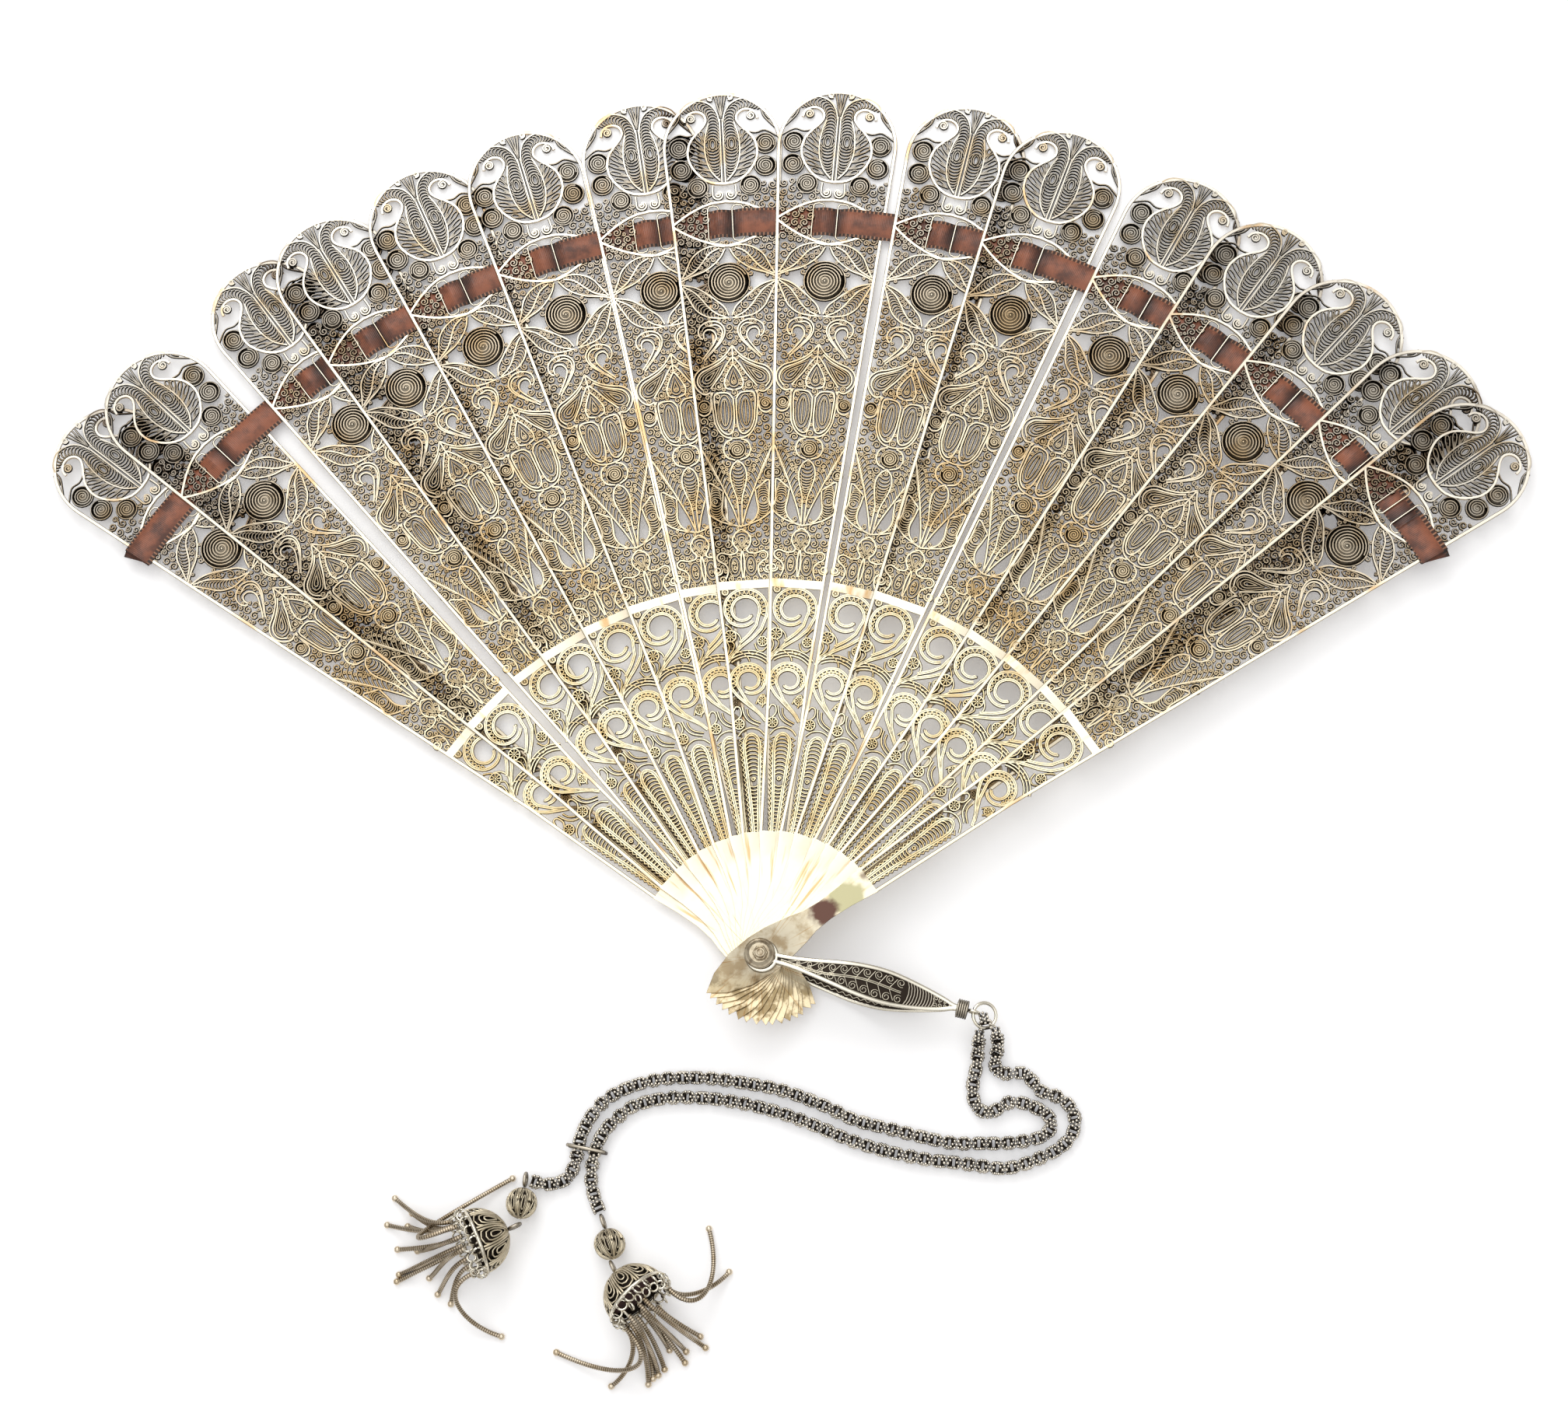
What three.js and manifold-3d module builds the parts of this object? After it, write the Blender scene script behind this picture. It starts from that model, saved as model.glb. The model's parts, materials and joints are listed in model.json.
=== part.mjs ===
// Filigree folding fan: openwork silver-gilt sticks on one rivet, linked near their tips by a satin
// ribbon, with a filigree bail, a double chain and two tassels.
// Millimetres, +Z up. The origin is the middle of the underside of the rivet's foot.
// +Y is the middle of the open fan and +X is to its right. The back guard is the lowest stick.

import * as THREE from 'three';
import { mergeVertices } from 'three/addons/utils/BufferGeometryUtils.js';
import Module from 'manifold-3d';

const wasm = await Module();
wasm.setup();

// Driving dimensions of the sticks

const stickAngles = [
  -51.9, -46.6, -36.9, -31.5, -24.2, -16.8, -8.6, -2.9, 5.1, 14.1, 20.9, 29.8, 36.3, 43.0, 50.2, 55.1,
]; // degrees to the right of +Y, as the sticks lie, back guard first
const stickTip = 181; // rivet to the top of the round tip
const bladeHalfAngle = 4.17; // degrees; the blade's edges point at the rivet
const stickThickness = 0.4;
const waistRadius = 56; // inside it the edges close in more slowly
const shoulderRadius = 24.6; // outer end of the plain plate
const shoulderHalfWidth = 2.9;
const neckRadius = 15;
const neckHalfWidth = 1.95;
const rootHalfWidth = 4.1; // the plate's widest place, at the rivet
const footLength = 12.6; // rivet to the point of the foot

// Driving dimensions of the openings in a stick

const tipToLens = 28.8; // top of the round tip to the middle of the ribbon's lens
const lensRadius = stickTip - tipToLens;
const stapleOffset = 2.5; // stick's middle to the middle of each wire staple
const stapleWidth = 2.3;
const stapleWire = 0.45;
const lensToMedallion = 12.8;
const medallionRadius = lensRadius - lensToMedallion;
const medallionSize = 4.2; // the medallion's own radius
const lozengeHalfWidth = 9.3;
const lozengeUp = 6.7;
const lozengeDown = 7.6;
const lobeHole = { across: 9.3, along: stickTip - 7.9, halfWidth: 0.8, halfHeight: 1.1 };
const scrollHoles = [
  { across: 0.55, along: 69.8, radius: 2.0 },
  { across: 0.9, along: 55.5, radius: 1.7 },
];

// Driving dimensions of the plain grids, which open the wirework between the frame rods

const gridBar = 1.0; // wire between two openings
const gridRim = 1.0; // from a grid to the blade's edge
const bodyGrid = { from: 77.4, to: medallionRadius - lozengeDown - 1.8, rows: 7, columns: 3 };
const lobeGrid = { from: lensRadius + 9.3, to: stickTip - 7.5, rows: 2, columns: 2 };
const lobeGridHalf = 5.8;
const leafOpening = { across: 5.3, offset: 5.0, halfWidth: 2.3, halfHeight: 1.9 }; // four round the medallion

// Driving dimensions of the ribbon

const ribbonWidth = 6;
const ribbonThickness = 0.12;
const ribbonClearance = 0.09; // to the sticks above and below it
const ribbonJoin = 0.3; // between one stretch and the next
const ribbonWrap = 2.2; // how far each end goes under its guard
const slotClearance = 0.7; // ribbon edge to the end of its slot

// Driving dimensions of the rivet and the bail

const pinRadius = 1.0;
const pinClearance = 0.08; // pin to each hole on it
const footRadius = 2.6;
const footHeight = 0.8;
const stackClearance = 0.2; // between the pieces stacked on the pin
const washerRadius = 2.15;
const washerHeight = 0.9;
const burrRadius = 1.75;
const burrHeight = 0.6;
const pinEnd = 0.35; // pin standing out of the burr
const bailThickness = 0.45;
const bailAzimuth = 104.5; // degrees to the right of +Y
const bailEyeRadius = 2.75;
const bailFlat = 14.5; // how far the arms run level, clear of the sticks' feet
const bailLength = 40.4; // rivet to the arms' joined ends
const bailTipGap = 0.25; // between the two arms at the collar
const collarLength = 2.2;
const collarRadius = 1.7;
const collarBore = 0.95;
const bailLoopRadius = 1.1;
const jumpRingRadius = 2.4;
const ringWire = 0.35; // radius of the wire of every ring
const jumpRingTilt = 25; // degrees that the jump ring hangs down

// Driving dimensions of the chains and the tassels

const chainDiameter = 2.6;
const chainSides = 8;
const chainSteps = 38;
const sliderWire = 0.45;
const sliderClearance = 0.25;
const sliderLength = 0.7;
const beadRadius = 3.05;
const tasselRingRadius = 1.2;
const capRadius = 6.3; // at the mouth
const capHeight = 6.4;
const capWall = 0.6;
const capLip = 0.5; // how far the lip stands out
const coreClearance = 0.35;
const fringeDisc = 0.8; // thickness of the disc that the strands grow from
const strandRadius = 0.55;
const strandRise = 0.75; // middle of a strand's end above the table

// Sizes that follow from them

const radians = Math.PI / 180;
const stickCount = stickAngles.length;
const stickGap = ribbonThickness + 2 * ribbonClearance;
const stickPitch = stickThickness + stickGap;
const stackHeight = (stickCount - 1) * stickPitch + stickThickness;
const stackBase = footHeight + 2 * stackClearance + bailThickness; // foot's underside to the lowest stick
const pinHole = pinRadius + pinClearance;
const halfTan = Math.tan(bladeHalfAngle * radians);
const halfSin = Math.sin(bladeHalfAngle * radians);
const lobeCentre = stickTip / (1 + halfSin); // the round tip touches both straight edges
const lobeSize = lobeCentre * halfSin;

// Materials

function finish(color, roughness, metalness) {
  return new THREE.MeshStandardMaterial({ color, roughness, metalness });
}

const gilt = finish(0xc9b48a, 0.35, 1);
const brightGilt = finish(0xe6cf94, 0.25, 1);
const oxidised = finish(0x5c5348, 0.45, 1);
const satin = finish(0x74402c, 0.6, 0);
const coreThread = finish(0x3c1f18, 0.9, 0);

// Helpers

function outlineShape(points) {
  return new THREE.Shape(points.map(([x, y]) => new THREE.Vector2(x, y)));
}

function roundPoints(x, y, radius, count) {
  return Array.from({ length: count }, (_, i) => {
    const turn = (2 * Math.PI * i) / count;
    return [x + radius * Math.cos(turn), y + radius * Math.sin(turn)];
  });
}

function diamondPoints({ across, along, halfWidth, halfHeight }, side) {
  const x = across * side;
  return [
    [x - halfWidth, along],
    [x, along - halfHeight],
    [x + halfWidth, along],
    [x, along + halfHeight],
  ];
}

function boxPoints(x0, x1, y0, y1) {
  return [[x0, y0], [x1, y0], [x1, y1], [x0, y1]];
}

// A plain grid of openings between two distances along a stick, with half its width given by a function
function gridHoles({ from, to, rows, columns }, halfAt) {
  const holes = [];
  const rise = (to - from + gridBar) / rows;
  const corner = (column, inward, along) => {
    const step = (2 * halfAt(along) + gridBar) / columns;
    return [column * step - halfAt(along) + (inward ? step - gridBar : 0), along];
  };
  for (let row = 0; row < rows; row++) {
    const low = from + row * rise;
    const high = low + rise - gridBar;
    for (let column = 0; column < columns; column++) {
      const lower = [corner(column, false, low), corner(column, true, low)];
      holes.push([...lower, corner(column, true, high), corner(column, false, high)]);
    }
  }
  return holes;
}

function plate(shape, depth) {
  return new THREE.ExtrudeGeometry(shape, { depth, bevelEnabled: false, curveSegments: 6 });
}

function tube(curve, radius, sides, steps) {
  const section = outlineShape(roundPoints(0, 0, radius, sides));
  return new THREE.ExtrudeGeometry(section, { steps, extrudePath: curve });
}

// A strip of four-cornered sections, closed at both ends. Each section lists its corners in the same turn.
function strip(sections) {
  const positions = sections.flat().flatMap((corner) => corner.toArray());
  const index = [];
  const last = sections.length - 1;
  for (let i = 0; i < last; i++) {
    for (let side = 0; side < 4; side++) {
      const a = 4 * i + side;
      const b = 4 * i + ((side + 1) % 4);
      index.push(a, b, b + 4, a, b + 4, a + 4);
    }
  }
  index.push(0, 2, 1, 0, 3, 2);
  index.push(4 * last, 4 * last + 1, 4 * last + 2, 4 * last, 4 * last + 2, 4 * last + 3);
  const geometry = new THREE.BufferGeometry();
  geometry.setAttribute('position', new THREE.Float32BufferAttribute(positions, 3));
  geometry.setIndex(index);
  return geometry;
}

function toSolid(geometry) {
  const bare = geometry.clone();
  bare.deleteAttribute('normal');
  bare.deleteAttribute('uv');
  const merged = mergeVertices(bare, 1e-5);
  const vertProperties = new Float32Array(merged.attributes.position.array);
  const triVerts = new Uint32Array(merged.index.array);
  return new wasm.Manifold(new wasm.Mesh({ numProp: 3, vertProperties, triVerts }));
}

function toGeometry(solid) {
  const { vertProperties, triVerts } = solid.getMesh();
  const geometry = new THREE.BufferGeometry();
  geometry.setAttribute('position', new THREE.Float32BufferAttribute(vertProperties, 3));
  geometry.setIndex(Array.from(triVerts));
  return geometry;
}

function joined(geometries) {
  return toGeometry(geometries.map(toSolid).reduce((sum, piece) => sum.add(piece)));
}

// A plate with openings cut right through it
function pierced(outline, openings, depth) {
  const blank = toSolid(plate(outlineShape(outline), depth));
  const prisms = openings.map((points) => plate(outlineShape(points), depth + 2).translate(0, 0, -1));
  const cutters = prisms.map(toSolid);
  return toGeometry(cutters.reduce((rest, cutter) => rest.subtract(cutter), blank));
}

function named(name, geometry, material) {
  const mesh = new THREE.Mesh(geometry, material);
  mesh.name = name;
  return mesh;
}

// Turns a geometry's own +Z to a direction and moves it there
function laidAlong(geometry, direction, place) {
  const upward = new THREE.Vector3(0, 0, 1);
  const turn = new THREE.Quaternion().setFromUnitVectors(upward, direction.clone().normalize());
  return geometry.clone().applyQuaternion(turn).translate(place.x, place.y, place.z);
}

// The open fan leans on the table: the rim of the rivet's foot and two blade tips carry it. The two
// tips are the ones nearest the fan's balance line, on either side of it, that leave no other tip
// below the table. A round tip's lowest place is its centre and one radius further down the slope.
function leanSlopes() {
  const tips = stickAngles.map((angle, level) => ({
    angle,
    x: lobeCentre * Math.sin(angle * radians),
    y: lobeCentre * Math.cos(angle * radians),
    height: stackBase + level * stickPitch,
  }));
  const sum = tips.reduce((total, tip) => [total[0] + tip.x, total[1] + tip.y], [0, 0]);
  const balance = Math.atan2(sum[0], sum[1]) / radians;
  let lean = { x: 0, y: 0 };
  for (let round = 0; round < 8; round++) {
    const drop = Math.hypot(lean.x, lean.y) * (lobeSize - footRadius);
    let best = { x: 0, y: 0, spread: Infinity };
    for (const a of tips.filter((tip) => tip.angle < balance)) {
      for (const b of tips.filter((tip) => tip.angle >= balance)) {
        const area = a.x * b.y - b.x * a.y;
        const x = ((b.height - drop) * a.y - (a.height - drop) * b.y) / area;
        const y = ((a.height - drop) * b.x - (b.height - drop) * a.x) / area;
        const clear = tips.every((tip) => tip.height - drop + x * tip.x + y * tip.y > -1e-6);
        if (clear && b.angle - a.angle < best.spread) {
          best = { x, y, spread: b.angle - a.angle };
        }
      }
    }
    lean = best;
  }
  return lean;
}

const slope = leanSlopes();
const rivetAxis = new THREE.Vector3(-slope.x, -slope.y, 1).normalize();
const tableLevel = -footRadius * Math.hypot(rivetAxis.x, rivetAxis.y); // the foot's rim stands on the table

// Sticks, in their own frame: X across, Y along from the rivet, Z up through the plate

function halfWidthAt(along) {
  if (along >= waistRadius) {
    return along * halfTan;
  }
  const waistHalfWidth = waistRadius * halfTan;
  const share = (along - shoulderRadius) / (waistRadius - shoulderRadius);
  return shoulderHalfWidth + share * (waistHalfWidth - shoulderHalfWidth);
}

function stickOutline() {
  const heelToNeck = (neckRadius + rootHalfWidth) / 2;
  const plateEdge = [
    [0.55 * rootHalfWidth, -0.74 * footLength],
    [0.9 * rootHalfWidth, -0.38 * footLength],
    [rootHalfWidth, 0],
    [0.95 * rootHalfWidth, 0.9 * rootHalfWidth],
    [(rootHalfWidth + neckHalfWidth) / 2, heelToNeck - 1],
    [1.15 * neckHalfWidth, heelToNeck + 1.8],
    [neckHalfWidth, neckRadius],
    [1.12 * neckHalfWidth, (neckRadius + shoulderRadius) / 2],
    [shoulderHalfWidth, shoulderRadius],
  ];
  const right = [...plateEdge, [halfWidthAt(waistRadius), waistRadius]];
  const lobe = [];
  const lobeSteps = 12;
  for (let i = 0; i <= lobeSteps; i++) {
    const turn = -bladeHalfAngle * radians + (i / lobeSteps) * (Math.PI + 2 * bladeHalfAngle * radians);
    lobe.push([lobeSize * Math.cos(turn), lobeCentre + lobeSize * Math.sin(turn)]);
  }
  const left = right.map(([x, y]) => [-x, y]).reverse();
  return [[0, -footLength], ...right, ...lobe, ...left];
}

function stickHoles() {
  const slotHalf = ribbonWidth / 2 + slotClearance;
  const stapleInner = stapleWidth / 2 - stapleWire / 2;
  const slots = [-1, 1].map((side) => {
    const x = side * stapleOffset;
    return boxPoints(x - stapleInner, x + stapleInner, lensRadius - slotHalf, lensRadius + slotHalf);
  });
  const between = stapleOffset - stapleWidth / 2 - stapleWire / 2;
  slots.push(boxPoints(-between, between, lensRadius - slotHalf, lensRadius + slotHalf));
  const cusps = [];
  for (const side of [-1, 1]) {
    cusps.push([
      [side * (medallionSize + 0.6), medallionRadius],
      [side * (medallionSize + 0.9), medallionRadius + 1.7],
      [side * lozengeHalfWidth, medallionRadius + 0.2],
      [side * (medallionSize + 0.9), medallionRadius - 1.7],
    ]);
  }
  cusps.push([
    [0, medallionRadius + medallionSize + 0.5],
    [1.8, medallionRadius + medallionSize + 0.4],
    [0, medallionRadius + lozengeUp],
    [-1.8, medallionRadius + medallionSize + 0.4],
  ]);
  cusps.push([
    [0, medallionRadius - medallionSize - 0.5],
    [-1.8, medallionRadius - medallionSize - 0.4],
    [0, medallionRadius - lozengeDown],
    [1.8, medallionRadius - medallionSize - 0.4],
  ]);
  const lobes = [diamondPoints(lobeHole, -1), diamondPoints(lobeHole, 1)];
  const scrolls = scrollHoles.map((hole) => roundPoints(hole.across, hole.along, hole.radius, 8));
  const leaves = [];
  for (const side of [-1, 1]) {
    for (const up of [-1, 1]) {
      const x = side * leafOpening.across;
      const y = medallionRadius + up * leafOpening.offset;
      const { halfWidth, halfHeight } = leafOpening;
      leaves.push(boxPoints(x - halfWidth, x + halfWidth, y - halfHeight, y + halfHeight));
    }
  }
  const body = gridHoles(bodyGrid, (along) => halfWidthAt(along) - gridRim);
  const emblem = gridHoles(lobeGrid, () => lobeGridHalf);
  const plain = [...body, ...emblem, ...leaves];
  return [...slots, ...cusps, ...lobes, ...scrolls, ...plain, roundPoints(0, 0, pinHole, 16)];
}

const stickNames = stickAngles.map((_, level) => {
  if (level === 0) {
    return 'back_guard';
  }
  if (level === stickCount - 1) {
    return 'front_guard';
  }
  return `stick_${String(level + 1).padStart(2, '0')}`;
});

function sticks() {
  const geometry = pierced(stickOutline(), stickHoles(), stickThickness);
  return stickAngles.map((angle, level) => {
    const stick = named(stickNames[level], geometry, gilt);
    stick.rotation.z = -angle * radians;
    stick.position.z = level * stickPitch;
    return stick;
  });
}

// Ribbon stretches follow the circle of the lenses. A place on the ribbon is its distance across a
// stick and its height in the stack.

function onStick(level, across, height) {
  return { turn: stickAngles[level] * radians + across / lensRadius, height };
}

function ribbonStrip(places) {
  const sections = places.map((place, i) => {
    const before = places[Math.max(i - 1, 0)];
    const after = places[Math.min(i + 1, places.length - 1)];
    const along = (after.turn - before.turn) * lensRadius;
    const run = new THREE.Vector2(along, after.height - before.height).normalize();
    const normal = new THREE.Vector2(-run.y, run.x).multiplyScalar(ribbonThickness / 2);
    const corner = (side, edge) => {
      const turn = place.turn + (side * normal.x) / lensRadius;
      const radius = lensRadius + (edge * ribbonWidth) / 2;
      const height = place.height + side * normal.y;
      return new THREE.Vector3(radius * Math.sin(turn), radius * Math.cos(turn), height);
    };
    return [corner(-1, -1), corner(-1, 1), corner(1, 1), corner(1, -1)];
  });
  return strip(sections);
}

function ribbonStretch(level) {
  const lane = stickGap / 2;
  const above = level * stickPitch + stickThickness + lane; // lane over this stick, under the next
  const edge = halfWidthAt(lensRadius) + ribbonThickness / 2 + ribbonJoin;
  const under = level * stickPitch - lane;
  const slotEdge = stapleWidth / 2 - stapleWire / 2;
  const riseSide = (target) => (target === stickCount - 1 ? stapleOffset : -stapleOffset);
  const places = [];
  if (level === 0) {
    places.push(
      onStick(0, -edge + ribbonWrap, under),
      onStick(0, -edge + 0.15, under),
      onStick(0, -edge, under + 0.15),
      onStick(0, -edge, above - 0.15),
      onStick(0, -edge + 0.15, above),
    );
  } else {
    places.push(onStick(level, riseSide(level) + slotEdge + ribbonJoin, above));
  }
  if (level < stickCount - 1) {
    const rise = riseSide(level + 1);
    const over = above + stickPitch;
    const start = places[places.length - 1].turn;
    const end = onStick(level + 1, rise - slotEdge + 0.1, above);
    for (let i = 1; i < 6; i++) {
      places.push({ turn: start + (i / 6) * (end.turn - start), height: above });
    }
    places.push(end);
    places.push(onStick(level + 1, rise + slotEdge - 0.3, over));
    places.push(onStick(level + 1, rise + slotEdge, over));
  } else {
    places.push(
      onStick(level, edge / 2, above),
      onStick(level, edge - 0.15, above),
      onStick(level, edge, above - 0.15),
      onStick(level, edge, under + 0.15),
      onStick(level, edge - 0.15, under),
      onStick(level, edge - ribbonWrap, under),
    );
  }
  return ribbonStrip(places);
}

function ribbon() {
  return stickNames.map((_, level) => {
    const name = `ribbon_${String(level + 1).padStart(2, '0')}`;
    return named(name, ribbonStretch(level), satin);
  });
}

// Rivet, with every height counted from the lowest stick's underside

function turned(profile, segments) {
  const places = profile.map(([r, z]) => new THREE.Vector2(r, z));
  return new THREE.LatheGeometry(places, segments).rotateX(Math.PI / 2);
}

const eyeTop = stackHeight + stackClearance + bailThickness;
const washerBase = eyeTop + stackClearance;
const burrBase = washerBase + washerHeight + stackClearance;

function rivetPin() {
  const top = burrBase + burrHeight + pinEnd;
  const profile = [
    [0, -stackBase],
    [footRadius, -stackBase],
    [footRadius, -stackBase + 0.6 * footHeight],
    [0.8 * footRadius, -stackBase + footHeight],
    [pinRadius, -stackBase + footHeight],
    [pinRadius, top - 0.15],
    [0.75 * pinRadius, top],
    [0, top],
  ];
  return named('rivet_pin', turned(profile, 16), gilt);
}

function domedWasher() {
  const profile = [
    [pinHole, washerBase],
    [washerRadius, washerBase],
    [0.97 * washerRadius, washerBase + 0.4 * washerHeight],
    [0.85 * washerRadius, washerBase + 0.75 * washerHeight],
    [pinHole + 0.15, washerBase + washerHeight],
    [pinHole, washerBase + washerHeight],
    [pinHole, washerBase],
  ];
  return named('domed_washer', turned(profile, 16), gilt);
}

function rivetBurr() {
  const burr = pierced(roundPoints(0, 0, burrRadius, 6), [roundPoints(0, 0, pinHole, 16)], burrHeight);
  return named('rivet_burr', burr.translate(0, 0, burrBase), gilt);
}

// Bail: two leaf-shaped arms with eyes on the pin, joined in a ribbed collar at half the stack's height

const bailMiddle = stackHeight / 2;
const bailHalfWidths = [
  [0.5, 0.6],
  [bailFlat / 2, 1.2],
  [bailFlat, 2.35],
  [bailLength * 0.46, 3.0],
  [bailLength * 0.57, 3.3],
  [bailLength * 0.66, 3.1],
  [bailLength * 0.78, 2.3],
  [bailLength * 0.88, 1.3],
  [bailLength - collarLength - 0.4, 0.55],
  [bailLength - 0.3, 0.5],
];

function bailArm(name, eyeHeight, tipHeight) {
  const bendEnd = bailLength - collarLength - 1;
  const heightAt = (along) => {
    const share = THREE.MathUtils.clamp((along - bailFlat) / (bendEnd - bailFlat), 0, 1);
    return THREE.MathUtils.lerp(eyeHeight, tipHeight, share * share * (3 - 2 * share));
  };
  const first = pinHole + bailHalfWidths[0][0];
  const sections = bailHalfWidths.map(([along, half], i) => {
    const y = i === 0 ? first : along;
    const low = heightAt(along);
    const high = low + bailThickness;
    return [
      new THREE.Vector3(-half, y, low),
      new THREE.Vector3(-half, y, high),
      new THREE.Vector3(half, y, high),
      new THREE.Vector3(half, y, low),
    ];
  });
  const eyeHole = roundPoints(0, 0, pinHole, 16);
  const eye = pierced(roundPoints(0, 0, bailEyeRadius, 16), [eyeHole], bailThickness);
  return named(name, joined([eye.translate(0, 0, eyeHeight), strip(sections)]), oxidised);
}

function bailCollar() {
  const ribs = 3;
  const profile = [[collarBore, 0]];
  for (let i = 0; i < ribs; i++) {
    const start = (i * collarLength) / ribs;
    profile.push([collarRadius - 0.3, start], [collarRadius, start + 0.3 * (collarLength / ribs)]);
    profile.push([collarRadius, start + 0.7 * (collarLength / ribs)]);
  }
  profile.push([collarRadius - 0.3, collarLength], [collarBore, collarLength], [collarBore, 0]);
  const sleeve = turned(profile, 12)
    .rotateX(-Math.PI / 2)
    .translate(0, bailLength - collarLength + 0.2, bailMiddle);
  const loopPlace = bailLength + 0.2 + bailLoopRadius;
  const loop = new THREE.TorusGeometry(bailLoopRadius, ringWire, 6, 12)
    .rotateY(Math.PI / 2)
    .translate(0, loopPlace, bailMiddle);
  const webHalf = ringWire * 0.8;
  const web = new THREE.BoxGeometry(2 * webHalf, 0.5, 2 * collarBore + 0.7);
  web.translate(0, bailLength + 0.15, bailMiddle);
  return named('bail_collar', joined([sleeve, web, loop]), oxidised);
}

function jumpRing() {
  const loopPlace = bailLength + 0.2 + bailLoopRadius;
  const ring = new THREE.TorusGeometry(jumpRingRadius, ringWire, 6, 18)
    .translate(0, jumpRingRadius, 0)
    .rotateX(-jumpRingTilt * radians)
    .translate(0, loopPlace, bailMiddle);
  return named('jump_ring', ring, oxidised);
}

function bail() {
  const group = new THREE.Group();
  const tip = bailTipGap / 2;
  group.add(bailArm('bail_upper_arm', stackHeight + stackClearance, bailMiddle + tip));
  group.add(bailArm('bail_lower_arm', -stackClearance - bailThickness, bailMiddle - tip - bailThickness));
  group.add(bailCollar(), jumpRing());
  group.rotation.z = -bailAzimuth * radians;
  return group;
}

// Chains: each lies on the table from the jump ring to its tassel, as chosen points of its middle line.
// The heights of the chains and the tassels are counted from the table.

const chainRest = chainDiameter / 2 + 0.1; // middle of a chain lying on the table
const chainInSlider = chainDiameter / 2 + sliderClearance + sliderWire + 0.1;

const rightChainPoints = [
  [44.7, -13.4, 4.6], [45.1, -16.4, 2.9], [44.4, -19.2, chainRest], [45.1, -21.2, chainRest],
  [47.4, -21.6, chainRest], [49.8, -21.5, chainRest], [51.5, -23.0, chainRest], [53.2, -25.0, chainRest],
  [56.0, -26.0, chainRest], [58.5, -27.9, chainRest], [59.5, -30.8, chainRest], [58.6, -33.7, chainRest],
  [56.2, -36.0, chainRest], [53.0, -37.6, chainRest], [49.4, -38.9, chainRest], [45.9, -39.6, chainRest],
  [42.1, -39.2, chainRest], [36.5, -38.4, chainRest], [31.3, -37.8, chainRest], [24.2, -36.3, chainRest],
  [17.2, -34.2, chainRest], [9.1, -30.8, chainRest], [1.5, -28.1, chainRest], [-6.2, -26.3, chainRest],
  [-12.9, -25.5, chainRest], [-19.6, -25.6, chainRest], [-25.3, -27.0, chainRest], [-28.7, -29.5, chainRest],
  [-31.0, -32.0, chainInSlider - 0.1], [-32.5, -35.2, chainInSlider], [-33.3, -38.4, chainRest],
  [-33.4, -41.6, chainRest], [-32.7, -44.6, chainRest], [-31.6, -47.3, chainRest],
];
const leftChainPoints = [
  [41.6, -14.0, 4.4], [41.3, -16.8, 2.6], [40.9, -20.0, chainRest], [40.2, -23.0, chainRest],
  [40.1, -25.6, chainRest], [41.0, -28.0, chainRest], [43.0, -29.0, chainRest], [45.0, -28.2, chainRest],
  [47.0, -27.1, chainRest], [49.5, -27.2, chainRest], [52.0, -28.1, chainRest], [54.3, -29.6, chainRest],
  [55.0, -31.6, chainRest], [53.5, -33.4, chainRest], [50.7, -34.3, chainRest], [46.5, -34.8, chainRest],
  [41.3, -34.8, chainRest], [36.1, -34.7, chainRest], [30.9, -33.6, chainRest], [24.2, -31.9, chainRest],
  [17.2, -30.0, chainRest], [11.1, -27.1, chainRest], [3.5, -24.3, chainRest], [-4.2, -22.7, chainRest],
  [-11.9, -21.7, chainRest], [-19.6, -21.8, chainRest], [-25.8, -23.2, chainRest], [-30.4, -25.5, chainRest],
  [-33.5, -28.8, chainRest], [-35.3, -32.4, chainInSlider - 0.1], [-35.9, -35.2, chainInSlider],
  [-36.7, -38.2, chainRest], [-38.3, -40.8, chainRest], [-41.6, -41.8, chainRest], [-45.3, -41.1, chainRest],
];

function chainCurve(points) {
  return new THREE.CatmullRomCurve3(points.map((point) => new THREE.Vector3(...point)));
}

function chain(name, points) {
  return named(name, tube(chainCurve(points), chainDiameter / 2, chainSides, chainSteps), oxidised);
}

// A flat wire frame round both chains
function slider() {
  const right = new THREE.Vector3(-32.5, -35.2, chainInSlider);
  const left = new THREE.Vector3(-35.9, -35.2, chainInSlider);
  const across = right.clone().sub(left);
  const innerWidth = across.length() + chainDiameter + 2 * sliderClearance + 0.6;
  const innerHeight = chainDiameter + 2 * sliderClearance;
  const box = (width, height) => boxPoints(-width / 2, width / 2, -height / 2, height / 2);
  const outer = box(innerWidth + 2 * sliderWire, innerHeight + 2 * sliderWire);
  const middle = left.clone().add(right).multiplyScalar(0.5);
  const frame = pierced(outer, [box(innerWidth, innerHeight)], sliderLength)
    .translate(0, 0, -sliderLength / 2)
    .rotateX(Math.PI / 2)
    .rotateZ(Math.atan2(across.y, across.x) - 12 * radians)
    .translate(middle.x, middle.y, middle.z);
  return named('chain_slider', frame, oxidised);
}

// Tassels: a top ring on the chain's end, a bead, a link ring, and a cap that lies on its side with the
// fringe running out of its mouth. Places are on the table; strand ends are chosen points.

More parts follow.
